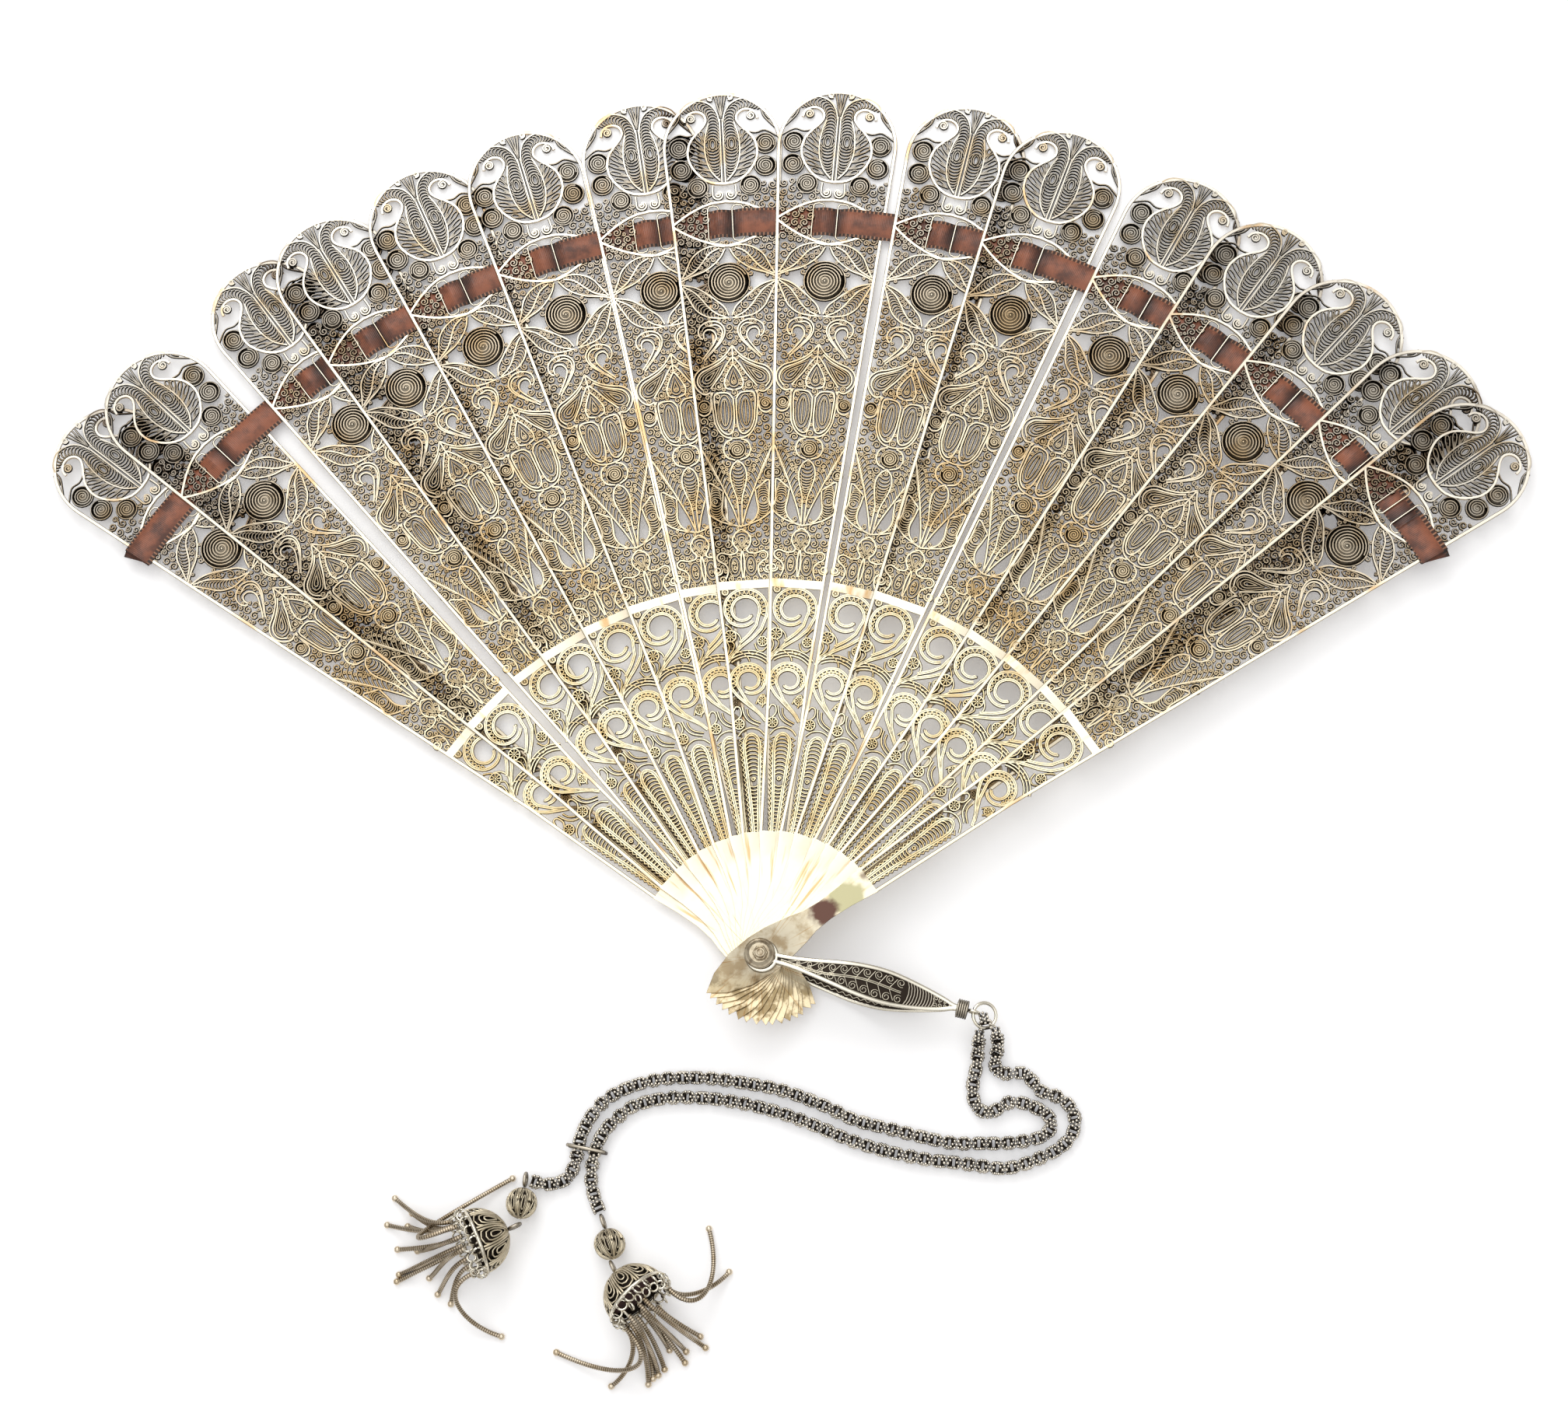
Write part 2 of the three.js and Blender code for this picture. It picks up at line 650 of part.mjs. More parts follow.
const tassels = [
  {
    name: 'tassel_left',
    ring: new THREE.Vector3(-46.1, -40.9, 1.9),
    bead: new THREE.Vector3(-46.6, -45.5, beadRadius + 0.1),
    link: new THREE.Vector3(-47.7, -50.0, 4.4),
    apex: new THREE.Vector3(-49.0, -50.6, 5.2),
    mouth: new THREE.Vector3(-54.7, -53.0, 6.8),
    ends: [
      [-48.8, -40.6], [-71.7, -44.2], [-68.3, -47.1], [-69.1, -49.6], [-73.1, -49.3], [-71.0, -54.0],
      [-67.1, -54.3], [-70.6, -58.8], [-71.0, -60.1], [-64.7, -59.5], [-63.0, -62.6], [-60.4, -64.4],
      [-50.5, -70.6],
    ],
  },
  {
    name: 'tassel_right',
    ring: new THREE.Vector3(-31.0, -49.0, 1.9),
    bead: new THREE.Vector3(-29.5, -53.4, beadRadius + 0.1),
    link: new THREE.Vector3(-28.6, -57.9, 4.5),
    apex: new THREE.Vector3(-27.95, -59.2, 5.35),
    mouth: new THREE.Vector3(-23.7, -63.6, 6.9),
    ends: [
      [-10.7, -50.5], [-6.8, -58.7], [-39.9, -73.6], [-29.3, -80.0], [-22.2, -79.7], [-21.3, -78.6],
      [-20.3, -78.0], [-19.1, -76.9], [-15.2, -75.7], [-15.0, -73.6], [-18.2, -73.3], [-12.3, -70.8],
      [-11.3, -72.9],
    ],
  },
];

const fringeBase = capHeight - 0.5; // apex of the cap to the disc that the strands grow from

function capGeometry() {
  const profile = [];
  const steps = 5;
  for (let i = 0; i <= steps; i++) {
    const turn = (i / steps) * (Math.PI / 2);
    profile.push([capRadius * Math.sin(turn), capHeight * (1 - Math.cos(turn))]);
  }
  profile.push([capRadius + capLip, capHeight], [capRadius + capLip, capHeight + capWall]);
  for (let i = steps; i >= 0; i--) {
    const turn = (i / steps) * (Math.PI / 2);
    const radius = (capRadius - capWall) * Math.sin(turn);
    profile.push([radius, capHeight + capWall - capHeight * Math.cos(turn)]);
  }
  return turned(profile, 14);
}

function coreGeometry() {
  const radius = capRadius - capWall - coreClearance - 1.2;
  const profile = [
    [0, 1.9],
    [0.45 * radius, 2.2],
    [0.9 * radius, 4.2],
    [radius, fringeBase - 0.2],
    [0, fringeBase - 0.2],
  ];
  return turned(profile, 12);
}

function strandCurve(tassel, place, i) {
  const axis = tassel.mouth.clone().sub(tassel.apex).normalize();
  const side = new THREE.Vector3(-axis.y, axis.x, 0).normalize();
  const up = new THREE.Vector3().crossVectors(axis, side).negate();
  const end = new THREE.Vector3(place[0], place[1], strandRise);
  const lean = side.dot(end.clone().sub(tassel.mouth));
  const reach = capRadius - capWall - coreClearance - strandRadius - 1.6;
  const across = THREE.MathUtils.clamp(lean * 0.28, -reach, reach);
  const lift = (i % 3) - 1;
  const tall = Math.sqrt(Math.max(reach * reach - across * across, 0)) * lift * 0.8;
  const root = tassel.apex.clone().addScaledVector(axis, fringeBase + fringeDisc / 2);
  root.addScaledVector(side, across).addScaledVector(up, tall);
  const distance = end.distanceTo(root);
  const ahead = axis.dot(end.clone().sub(tassel.mouth));
  const behind = Math.max(8 - ahead, 0); // more for strands that turn back past the cap
  const leave = root.clone().addScaledVector(axis, 0.32 * distance + 0.5 * behind);
  const arrive = leave.clone().lerp(end, 0.6).addScaledVector(axis, 0.5 * behind);
  arrive.z = strandRise + 0.9;
  return new THREE.CubicBezierCurve3(root, leave, arrive, end);
}

function fringe(tassel) {
  const axis = tassel.mouth.clone().sub(tassel.apex).normalize();
  const discRadius = capRadius - capWall - coreClearance - 0.9;
  const disc = turned([[0, 0], [discRadius, 0], [discRadius, fringeDisc], [0, fringeDisc]], 12);
  const pieces = [laidAlong(disc, axis, tassel.apex.clone().addScaledVector(axis, fringeBase))];
  tassel.ends.forEach((place, i) => pieces.push(tube(strandCurve(tassel, place, i), strandRadius, 5, 5)));
  return joined(pieces);
}

function tasselPieces(tassel) {
  const { name, ring, bead, link, apex, mouth } = tassel;
  const axis = mouth.clone().sub(apex).normalize();
  const ringGeometry = new THREE.TorusGeometry(tasselRingRadius, ringWire, 6, 12);
  const beadGeometry = new THREE.SphereGeometry(beadRadius, 10, 7);
  const toBead = bead.clone().sub(ring);
  const toApex = apex.clone().sub(link);
  const ringTurn = new THREE.Vector3(-toBead.y, toBead.x, 0).normalize();
  const linkTurn = new THREE.Vector3(-toApex.y, toApex.x, 0).normalize();
  return [
    named(`${name}_ring`, laidAlong(ringGeometry, ringTurn, ring), oxidised),
    named(`${name}_bead`, laidAlong(beadGeometry, toBead.normalize(), bead), brightGilt),
    named(`${name}_link`, laidAlong(ringGeometry, linkTurn, link), oxidised),
    named(`${name}_cap`, laidAlong(capGeometry(), axis, apex), brightGilt),
    named(`${name}_core`, laidAlong(coreGeometry(), axis, apex), coreThread),
    named(`${name}_fringe`, fringe(tassel), gilt),
  ];
}

// The whole fan

const fan = new THREE.Group();

const stack = new THREE.Group();
stack.quaternion.setFromUnitVectors(new THREE.Vector3(0, 0, 1), rivetAxis);
stack.position.copy(rivetAxis).multiplyScalar(stackBase);
stack.add(...sticks(), ...ribbon(), rivetPin(), domedWasher(), rivetBurr(), bail());
fan.add(stack);

const laid = new THREE.Group();
laid.position.z = tableLevel;
laid.add(chain('chain_right', rightChainPoints), chain('chain_left', leftChainPoints), slider());
tassels.forEach((tassel) => laid.add(...tasselPieces(tassel)));
fan.add(laid);

export default fan;
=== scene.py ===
# %% [markdown]
# A silver-gilt filigree folding fan
#
# The fan is made of sixteen openwork sticks on one rivet. Each stick is bent and soldered wire, so most
# of this lesson is about drawing wire: a path, a section along it, and a mesh at the end. A brown
# satin ribbon laces the sticks together near their tips, and a filigree bail carries a double chain
# with two tassels.
#
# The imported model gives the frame: where each piece is and how it moves. Blender adds the looks.

import itertools
import json
import math

import bpy
import numpy as np
from mathutils import Matrix, Vector


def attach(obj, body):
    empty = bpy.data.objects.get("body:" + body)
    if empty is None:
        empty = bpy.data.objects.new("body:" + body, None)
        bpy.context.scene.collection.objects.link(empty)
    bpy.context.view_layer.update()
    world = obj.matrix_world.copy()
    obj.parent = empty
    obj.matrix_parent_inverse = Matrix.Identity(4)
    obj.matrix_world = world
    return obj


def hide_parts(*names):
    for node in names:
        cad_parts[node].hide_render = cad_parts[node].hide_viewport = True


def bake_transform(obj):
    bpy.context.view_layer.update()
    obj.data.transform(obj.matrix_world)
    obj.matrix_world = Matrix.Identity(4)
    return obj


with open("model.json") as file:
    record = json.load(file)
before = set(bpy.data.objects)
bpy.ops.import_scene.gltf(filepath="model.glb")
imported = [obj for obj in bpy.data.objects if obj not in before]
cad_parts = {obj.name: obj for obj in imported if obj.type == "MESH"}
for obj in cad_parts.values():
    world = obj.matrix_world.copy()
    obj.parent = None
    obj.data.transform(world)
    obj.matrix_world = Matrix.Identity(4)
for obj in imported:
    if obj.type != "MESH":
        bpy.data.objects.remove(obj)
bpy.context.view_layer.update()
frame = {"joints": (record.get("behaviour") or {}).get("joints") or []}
bpy.ops.object.select_all(action="DESELECT")

# %% [markdown]
# Sizes are in millimetres, as on the bench, and are turned into metres where a mesh is made. The stick
# angles, levels and lengths are those of the solids, so each wire stick lies exactly where its plate is.
# The fan leans a little on the table, and the fold joint's axis says how much.

# %% Sizes of the fan
MM = 0.001
STICK_ANGLES = [
    -51.9, -46.6, -36.9, -31.5, -24.2, -16.8, -8.6, -2.9, 5.1, 14.1, 20.9, 29.8, 36.3, 43.0, 50.2, 55.1,
]
STICK_LEVEL = 0.7
PLATE = 0.4
STACK_BASE = 1.65
STACK_HEIGHT = 15 * STICK_LEVEL + PLATE
ROD = 0.7
STICK_TIP = 181.0
HALF_ANGLE = math.radians(4.17)
LOBE_CENTRE = STICK_TIP / (1 + math.sin(HALF_ANGLE))
LOBE_RADIUS = LOBE_CENTRE * math.sin(HALF_ANGLE)
LENS_RADIUS = 152.2
MEDALLION = 139.4

rivet_axis = Vector(frame["joints"][0]["axis"]).normalized()
lean = Vector((0, 0, 1)).rotation_difference(rivet_axis).to_matrix().to_4x4()
stack_frame = Matrix.Translation(rivet_axis * STACK_BASE * MM) @ lean
TABLE = -2.6 * math.hypot(rivet_axis.x, rivet_axis.y)
stick_names = ["back_guard"] + [f"stick_{number:02d}" for number in range(2, 16)] + ["front_guard"]
print("lean:", round(math.degrees(rivet_axis.angle(Vector((0, 0, 1)))), 2), "degrees")

# %% [markdown]
# The camera stands where the photographer's did: about 65 cm above the table and 13 degrees off the
# vertical, with a 78 mm lens. Its place was worked out from the stick tips, the medallions and the rivet.

# %% Camera
CAMERA_PLACE = Vector((59.4, -91.3, 653.9)) * MM
CAMERA_AIM = Vector((3.9, 50.2, -0.1)) * MM
CAMERA_ROLL = math.radians(-0.15)

camera_data = bpy.data.cameras.new("photo_camera")
camera_data.lens = 78.1
camera_data.sensor_width = 36
camera = bpy.data.objects.new("photo_camera", camera_data)
bpy.context.scene.collection.objects.link(camera)
view_line = (CAMERA_AIM - CAMERA_PLACE).normalized()
camera_right = view_line.cross(Vector((0, 1, 0))).normalized()
camera_up = camera_right.cross(view_line)
facing = Matrix((camera_right, camera_up, -view_line)).transposed().to_4x4()
camera.matrix_world = Matrix.Translation(CAMERA_PLACE) @ facing @ Matrix.Rotation(CAMERA_ROLL, 4, "Z")
bpy.context.scene.camera = camera
print("camera looks along", [round(value, 3) for value in view_line])

# %% [markdown]
# Drawing wire. A path is a short list of chosen points, smoothed into a curve. Circles, spirals, nested
# ovals, drops and rows of scales come from formulas, and what is the same on both sides is drawn once.

# %% Helpers for paths
def smooth(points, per=4):
    """A smooth line through the points: Catmull-Rom, with a few places between each pair."""
    line = [Vector(point) for point in points]
    ends = [2 * line[0] - line[1]] + line + [2 * line[-1] - line[-2]]
    found = []
    for a, b, c, d in zip(ends, ends[1:], ends[2:], ends[3:]):
        for step in range(per):
            u = step / per
            square = 2 * a - 5 * b + 4 * c - d
            cube = 3 * b - a - 3 * c + d
            found.append(0.5 * (2 * b + (c - a) * u + square * u**2 + cube * u**3))
    return [tuple(point) for point in found] + [tuple(line[-1])]


def ring(x, y, radius, count=12, stretch=1.0):
    """A closed circle, or an oval where stretch isn't 1."""
    turns = [math.tau * step / count for step in range(count)]
    line = [(x + radius * math.cos(turn), y + radius * stretch * math.sin(turn)) for turn in turns]
    return line + [line[0]]


def spiral(x, y, outer, inner, turns, start=0.0, count=12, hand=1):
    """A flat spiral from its outer end to its inner one."""
    steps = max(int(turns * count), 4)
    line = []
    for step in range(steps + 1):
        share = step / steps
        radius = outer + (inner - outer) * share
        turn = start + hand * math.tau * turns * share
        line.append((x + radius * math.cos(turn), y + radius * math.sin(turn)))
    return line


def nested_ovals(x, y, half_width, half_height, gap, count=12):
    """Ovals one inside the other."""
    found = []
    while half_width > 0.28:
        found.append(ring(x, y, half_width, count, half_height / half_width))
        half_width -= gap
        half_height -= gap * 1.35
    return found


def measured(line):
    """The distance along the line at each of its points."""
    return np.r_[0, np.cumsum([(b - a).length for a, b in zip(line, line[1:])])]


def point_at(line, lengths, place):
    """The point at that distance along the line, and the line's direction there."""
    number = min(int(np.searchsorted(lengths, place, side="right")) - 1, len(line) - 2)
    along = (line[number + 1] - line[number]).normalized()
    return line[number] + along * (place - lengths[number]), along


def teardrop(tail, head, width):
    """A closed loop, pointed at its tail and round at its head."""
    tail, head = Vector(tail), Vector(head)
    along = head - tail
    side = Vector((-along.y, along.x)).normalized() * width / 2
    shape = [(0, 0), (0.35, 0.55), (0.7, 1), (0.9, 0.8), (1, 0), (0.9, -0.8), (0.7, -1), (0.35, -0.55)]
    line = [tuple(tail + along * u + side * v) for u, v in shape]
    return line + [line[0]]


def scales(middle, halves, step, bulge=0.8, count=6):
    """Arches one after another along a middle line, each from one side of a leaf to the other."""
    line = [Vector(point) for point in smooth(middle, 8)]
    lengths = measured(line)
    turns = [math.pi * number / count for number in range(count + 1)]
    found = []
    for place in np.arange(0, lengths[-1], step):
        here, along = point_at(line, lengths, place)
        half = float(np.interp(place / lengths[-1], np.linspace(0, 1, len(halves)), halves))
        side = Vector((-along.y, along.x))
        arch = [here + side * half * math.cos(t) + along * half * bulge * math.sin(t) for t in turns]
        found.append([tuple(point) for point in arch])
    return found


def mirrored(paths):
    """The paths and their mirror images across the stick's middle line."""
    return paths + [[(-x, y) for x, y in path] for path in paths]


print("path helpers ready")

# %% [markdown]
# Blender bends a section along each path, and the result becomes a mesh. Filigree wire is rolled flat
# and stands on edge, so its section is a small trapezoid: a flat crest that shows bright, and sides that
# spread to the foot. Four sides are enough for wire this thin, and keep thousands of curls light.

# %% Helpers for meshes
def linked(name, data):
    """A new object that holds the data, in the scene."""
    made = bpy.data.objects.new(name, data)
    bpy.context.scene.collection.objects.link(made)
    return made


def select_only(*objects):
    bpy.ops.object.select_all(action="DESELECT")
    for piece in objects:
        piece.select_set(True)
    bpy.context.view_layer.objects.active = objects[0]


def add_spline(curve, points, closed):
    """A line through the points, in mm, straight from each to the next."""
    spline = curve.splines.new("POLY")
    spline.points.add(len(points) - 1)
    places = [(p[0] * MM, p[1] * MM, (p[2] if len(p) > 2 else 0) * MM, 1) for p in points]
    spline.points.foreach_set("co", [value for place in places for value in place])
    spline.use_cyclic_u = closed


def outline(name, corners):
    """A closed outline, which a wire or a rod takes as its section."""
    curve = bpy.data.curves.new(name, "CURVE")
    add_spline(curve, corners, True)
    return linked(name, curve)


def rounded(width, height):
    """The corners of a rectangle whose four corners are cut, for rods, bars and ribbon."""
    cut = min(width, height) * 0.25
    half_w, half_h = width / 2, height / 2
    points = []
    for sx, sy in ((1, 1), (-1, 1), (-1, -1), (1, -1)):
        ends = [(sx * half_w, sy * (half_h - cut)), (sx * (half_w - cut), sy * half_h)]
        points += ends if sx * sy > 0 else ends[::-1]
    return points


def bend_wire(name, paths, width, height=None, level=0.0, sides=0, section=None):
    """Bends a wire of that width along each path, and flattens it to that height. Sizes in mm."""
    curve = bpy.data.curves.new(name, "CURVE")
    curve.dimensions = "3D"
    curve.twist_mode = "Z_UP"
    curve.use_fill_caps = True
    curve.resolution_u = 1
    curve.bevel_depth = width / 2 * MM
    curve.bevel_resolution = sides
    if section is not None:
        curve.bevel_mode = "OBJECT"
        curve.bevel_object = section
    for path in paths:
        closed = len(path) > 2 and (Vector(path[0]) - Vector(path[-1])).length < 1e-6
        add_spline(curve, path[:-1] if closed else path, closed)
    wire = linked(name, curve)
    select_only(wire)
    bpy.ops.object.convert(target="MESH")
    flat = (height or width) / width
    wire.data.transform(Matrix.Translation((0, 0, level * MM)) @ Matrix.Diagonal((1, 1, flat, 1)))
    return wire


def lay_wire(name, paths, crest, foot, height=PLATE - 0.04):
    """Filigree wire laid flat along the paths, as wide as crest at its top and as foot below."""
    half = height / 2
    section = outline(name, [(crest / 2, half), (-crest / 2, half), (-foot / 2, -half), (foot / 2, -half)])
    wire = bend_wire(name, paths, foot, level=PLATE / 2, section=section)
    bpy.data.objects.remove(section)
    bpy.ops.object.mode_set(mode="EDIT")
    bpy.ops.mesh.select_all(action="SELECT")
    bpy.ops.mesh.normals_make_consistent(inside=False)
    bpy.ops.mesh.faces_shade_flat()
    bpy.ops.object.mode_set(mode="OBJECT")
    return wire


def vertex_places(mesh):
    """The mesh's vertices, as rows of x, y and z in metres."""
    places = np.empty(len(mesh.vertices) * 3)
    mesh.vertices.foreach_get("co", places)
    return places.reshape(-1, 3)


def mark(mesh, name, values):
    """Keeps a value at each vertex, which a material reads by its name."""
    layer = mesh.attributes.new(name, "FLOAT", "POINT")
    layer.data.foreach_set("value", values.astype(np.float32))


def copies(name, model, places):
    """One mesh that holds a copy of the model at each place."""
    count = len(model.data.vertices)
    corner = np.c_[vertex_places(model.data), np.ones(count)]
    faces = [tuple(face.vertices) for face in model.data.polygons]
    corners = np.vstack([(corner @ np.array(place).T)[:, :3] for place in places])
    mesh = bpy.data.meshes.new(name)
    shifted = [tuple(v + count * n for v in face) for n in range(len(places)) for face in faces]
    mesh.from_pydata(corners.tolist(), [], shifted)
    mesh.shade_smooth()
    return linked(name, mesh)


def join(name, pieces):
    """Joins the pieces into the first one and names it."""
    select_only(*pieces)
    bpy.ops.object.join()
    pieces[0].name = name
    pieces[0].data.name = name
    return pieces[0]


def remove(*pieces):
    for piece in pieces:
        bpy.data.objects.remove(piece)


def set_in(piece, place):
    """Moves the piece's mesh into the row's frame and leaves its object at the origin."""
    piece.data.transform(place)
    piece.matrix_world = Matrix.Identity(4)
    return piece


def dress(piece, *materials):
    piece.data.materials.clear()
    for material in materials:
        piece.data.materials.append(material)
    return piece


def ball(radius, rough=1):
    """A small ball for granules; it is copied many times, so it has few faces."""
    bpy.ops.mesh.primitive_ico_sphere_add(subdivisions=rough, radius=radius * MM)
    return bpy.context.object


def at(x, y, z=0.0):
    return Matrix.Translation((x * MM, y * MM, z * MM))


print("mesh helpers ready")

# %% [markdown]
# The chains come first after the camera, because their routes and lengths are fixed by the solids.
# Each strand is a flower chain: small cages made of two granulated flowers joined by wires, every cage
# turned a quarter from the last. One cage is modelled, and copied along the strand's middle line.

# %% Chain routes
CHAIN_WIDTH = 2.6
CHAIN_REST = CHAIN_WIDTH / 2 + 0.1
SLIDER_GAP, SLIDER_WIRE = 0.25, 0.45
CHAIN_LIFT = CHAIN_WIDTH / 2 + SLIDER_GAP + SLIDER_WIRE + 0.1
right_chain_points = [
    (44.7, -13.4, 4.6), (45.1, -16.4, 2.9), (44.4, -19.2), (45.1, -21.2), (47.4, -21.6), (49.8, -21.5),
    (51.5, -23.0), (53.2, -25.0), (56.0, -26.0), (58.5, -27.9), (59.5, -30.8), (58.6, -33.7),
    (56.2, -36.0), (53.0, -37.6), (49.4, -38.9), (45.9, -39.6), (42.1, -39.2), (36.5, -38.4),
    (31.3, -37.8), (24.2, -36.3), (17.2, -34.2), (9.1, -30.8), (1.5, -28.1), (-6.2, -26.3),
    (-12.9, -25.5), (-19.6, -25.6), (-25.3, -27.0), (-28.7, -29.5), (-31.0, -32.0, CHAIN_LIFT - 0.1),
    (-32.5, -35.2, CHAIN_LIFT), (-33.3, -38.4), (-33.4, -41.6), (-32.7, -44.6), (-31.6, -47.3),
]
left_chain_points = [
    (41.6, -14.0, 4.4), (41.3, -16.8, 2.6), (40.9, -20.0), (40.2, -23.0), (40.1, -25.6), (41.0, -28.0),
    (43.0, -29.0), (45.0, -28.2), (47.0, -27.1), (49.5, -27.2), (52.0, -28.1), (54.3, -29.6),
    (55.0, -31.6), (53.5, -33.4), (50.7, -34.3), (46.5, -34.8), (41.3, -34.8), (36.1, -34.7),
    (30.9, -33.6), (24.2, -31.9), (17.2, -30.0), (11.1, -27.1), (3.5, -24.3), (-4.2, -22.7),
    (-11.9, -21.7), (-19.6, -21.8), (-25.8, -23.2), (-30.4, -25.5), (-33.5, -28.8),
    (-35.3, -32.4, CHAIN_LIFT - 0.1), (-35.9, -35.2, CHAIN_LIFT), (-36.7, -38.2), (-38.3, -40.8),
    (-41.6, -41.8), (-45.3, -41.1),
]


def route(points):
    """The strand's middle line in metres, and its length. A point without a height lies on the table."""
    places = [point if len(point) > 2 else (*point, CHAIN_REST) for point in points]
    line = [(Vector(place) + Vector((0, 0, TABLE))) * MM for place in smooth(places, 6)]
    length = sum((b - a).length for a, b in zip(line, line[1:]))
    return line, length


right_route, right_length = route(right_chain_points)
left_route, left_length = route(left_chain_points)
print("strands:", round(right_length * 1000), "and", round(left_length * 1000), "mm")

# %% [markdown]
# A cage is two flowers of seven granules, one above the other, with four short posts between them. The
# posts are dark, partly the oxide inside the real chain and partly painted shade, so they are strung as a
# piece of their own.

# %% A cage of the chain
CAGE_STEP = 1.4
FLOWER_RADIUS = 0.74
GRANULE = 0.34


def chain_flowers():
    """The two granulated flowers of one cage, above and below: six granules round a seventh."""
    granule = ball(GRANULE)
    places = []
    for side in (-1, 1):
        places.append(at(0, 0, side * 1.02))
        for turn in range(6):
            angle = math.tau * turn / 6
            places.append(at(FLOWER_RADIUS * math.cos(angle), FLOWER_RADIUS * math.sin(angle), side * 0.96))
    flowers = copies("flowers", granule, places)
    remove(granule)
    return flowers


def strung(name, line, cage):
    """Copies of the cage along the line, each turned a quarter from the last."""
    lengths = measured(line)
    count = round(lengths[-1] / (CAGE_STEP * MM))
    places = []
    for number in range(count):
        middle, along = point_at(line, lengths, (number + 0.45) / (count + 0.2) * lengths[-1])
        across = Vector((0, 0, 1)).cross(along).normalized()
        upward = along.cross(across)
        turned = Matrix((along, across, upward)).transposed().to_4x4()
        roll = math.pi / 2 * (number % 2) + 0.3 * math.sin(number * 2.4)
        places.append(Matrix.Translation(middle) @ turned @ Matrix.Rotation(roll, 4, "X"))
    return copies(name, cage, places)


flowers = chain_flowers()
post_lines = [[(x, y, -0.9), (x, y, 0.9)] for x, y in itertools.product((-0.5, 0.5), repeat=2)]
posts = bend_wire("posts", post_lines, 0.42)
right_chain = strung("right_chain", right_route, flowers)
left_chain = strung("left_chain", left_route, flowers)
right_posts = strung("right_posts", right_route, posts)
left_posts = strung("left_posts", left_route, posts)
print("chain faces:", len(right_chain.data.polygons) + len(left_chain.data.polygons))

# %% [markdown]
# Each strand replaces the plain tube that held its place, and rides with the bail.

for strand, line, length, node, ring_node in (
    (right_chain, right_route, right_length, "chain_right", "tassel_right_ring"),
    (left_chain, left_route, left_length, "chain_left", "tassel_left_ring"),
):
    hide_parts(node)
    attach(strand, "bail")
    tuple(line[0])
    [tuple(point) for point in line]

# %% [markdown]
# One stick, drawn flat. The shapes come from looking straight down on a single stick: a round lobe with
# a pair of swan-necked leaves, discs of coiled wire, a lens for the ribbon, a medallion in four double
# leaves, a shield and a tulip, a plain band, and two scrolls over a tall arch. X runs across the stick
# and Y from the rivet outwards. Heavy wire draws the outlines, middle wire the leaves, and fine wire
# fills them.

# %% The lobe's emblem
heavy, middle, fine, coils, granule_places, backed = [], [], [], [], [], []

pear = [
    (0, 160.9), (2.6, 161.3), (5.0, 163.0), (6.7, 165.6), (7.15, 168.0), (6.6, 170.3), (5.2, 172.2),
    (3.8, 173.7), (3.15, 175.0), (3.5, 176.3), (4.7, 177.05), (6.1, 176.9), (7.2, 176.0), (7.5, 174.9),
]
swan_back = [
    (0.35, 174.4), (0.75, 176.4), (1.9, 178.3), (3.7, 179.3), (5.6, 179.4), (7.4, 178.5), (8.4, 177.1),
]
leaf_edge = [(0.7, 161.6), (2.4, 163.6), (3.4, 166.5), (3.6, 169.5), (3.2, 172.4), (2.6, 174.4)]
heavy += mirrored([smooth(pear, 3)])
middle += [[(-0.36, 161.0), (-0.3, 175.2)], [(0.36, 161.0), (0.3, 175.2)]]
middle += mirrored([smooth(swan_back, 4), smooth(leaf_edge, 3)])
fine += mirrored(scales([(1.95, 169.4), (1.7, 166.0), (1.3, 162.6)], [1.35, 1.25, 0.5], 0.72))
fine += mirrored(
    scales(
        [(1.95, 170.0), (1.7, 173.6), (2.0, 176.2), (3.6, 178.0), (5.6, 178.2), (7.7, 177.4)],
        [1.35, 1.15, 0.95, 0.85, 0.8, 0.4],
        0.72,
    )
)
fine += mirrored(nested_ovals(1.95, 169.7, 0.9, 1.5, 0.4))
fern_heads = [
    (4.7, 163.6), (6.0, 165.2), (6.7, 167.0), (6.75, 168.9), (6.2, 170.5), (5.3, 171.8), (4.3, 172.8),
]
for number, head in enumerate(fern_heads):
    tail = (2.1 + 0.27 * number, 162.4 + 1.36 * number)
    fine += mirrored([teardrop(tail, head, 0.85)])
    fine += mirrored([[tail, ((tail[0] + head[0]) / 2, (tail[1] + head[1]) / 2)]])
lily = [[(0, 175.4), (0.5, 177.6), (1.2, 180.6)], [(0, 175.6), (0.15, 178.0), (0.45, 180.5)]]
fine += mirrored([smooth(path) for path in lily])
middle += mirrored([spiral(6.2, 175.6, 0.9, 0.25, 1.6, 1.2)])
middle += mirrored([spiral(2.05, 179.95, 0.62, 0.2, 1.4, 4.0)])
tendrils = [
    [(8.4, 177.1), (8.7, 175.6), (9.6, 174.3), (11.2, 172.5)],
    [(5.0, 172.3), (7.0, 171.8), (9.0, 172.2), (11.6, 170.6)],
    [(9.1, 176.9), (9.2, 175.7), (9.9, 174.6)],
]
fine += mirrored([smooth(path) for path in tendrils])
granule_places += [(6.2, 175.6, 0.42), (-6.2, 175.6, 0.42), (2.05, 179.95, 0.3), (-2.05, 179.95, 0.3)]
print("emblem wires:", len(heavy) + len(middle) + len(fine))
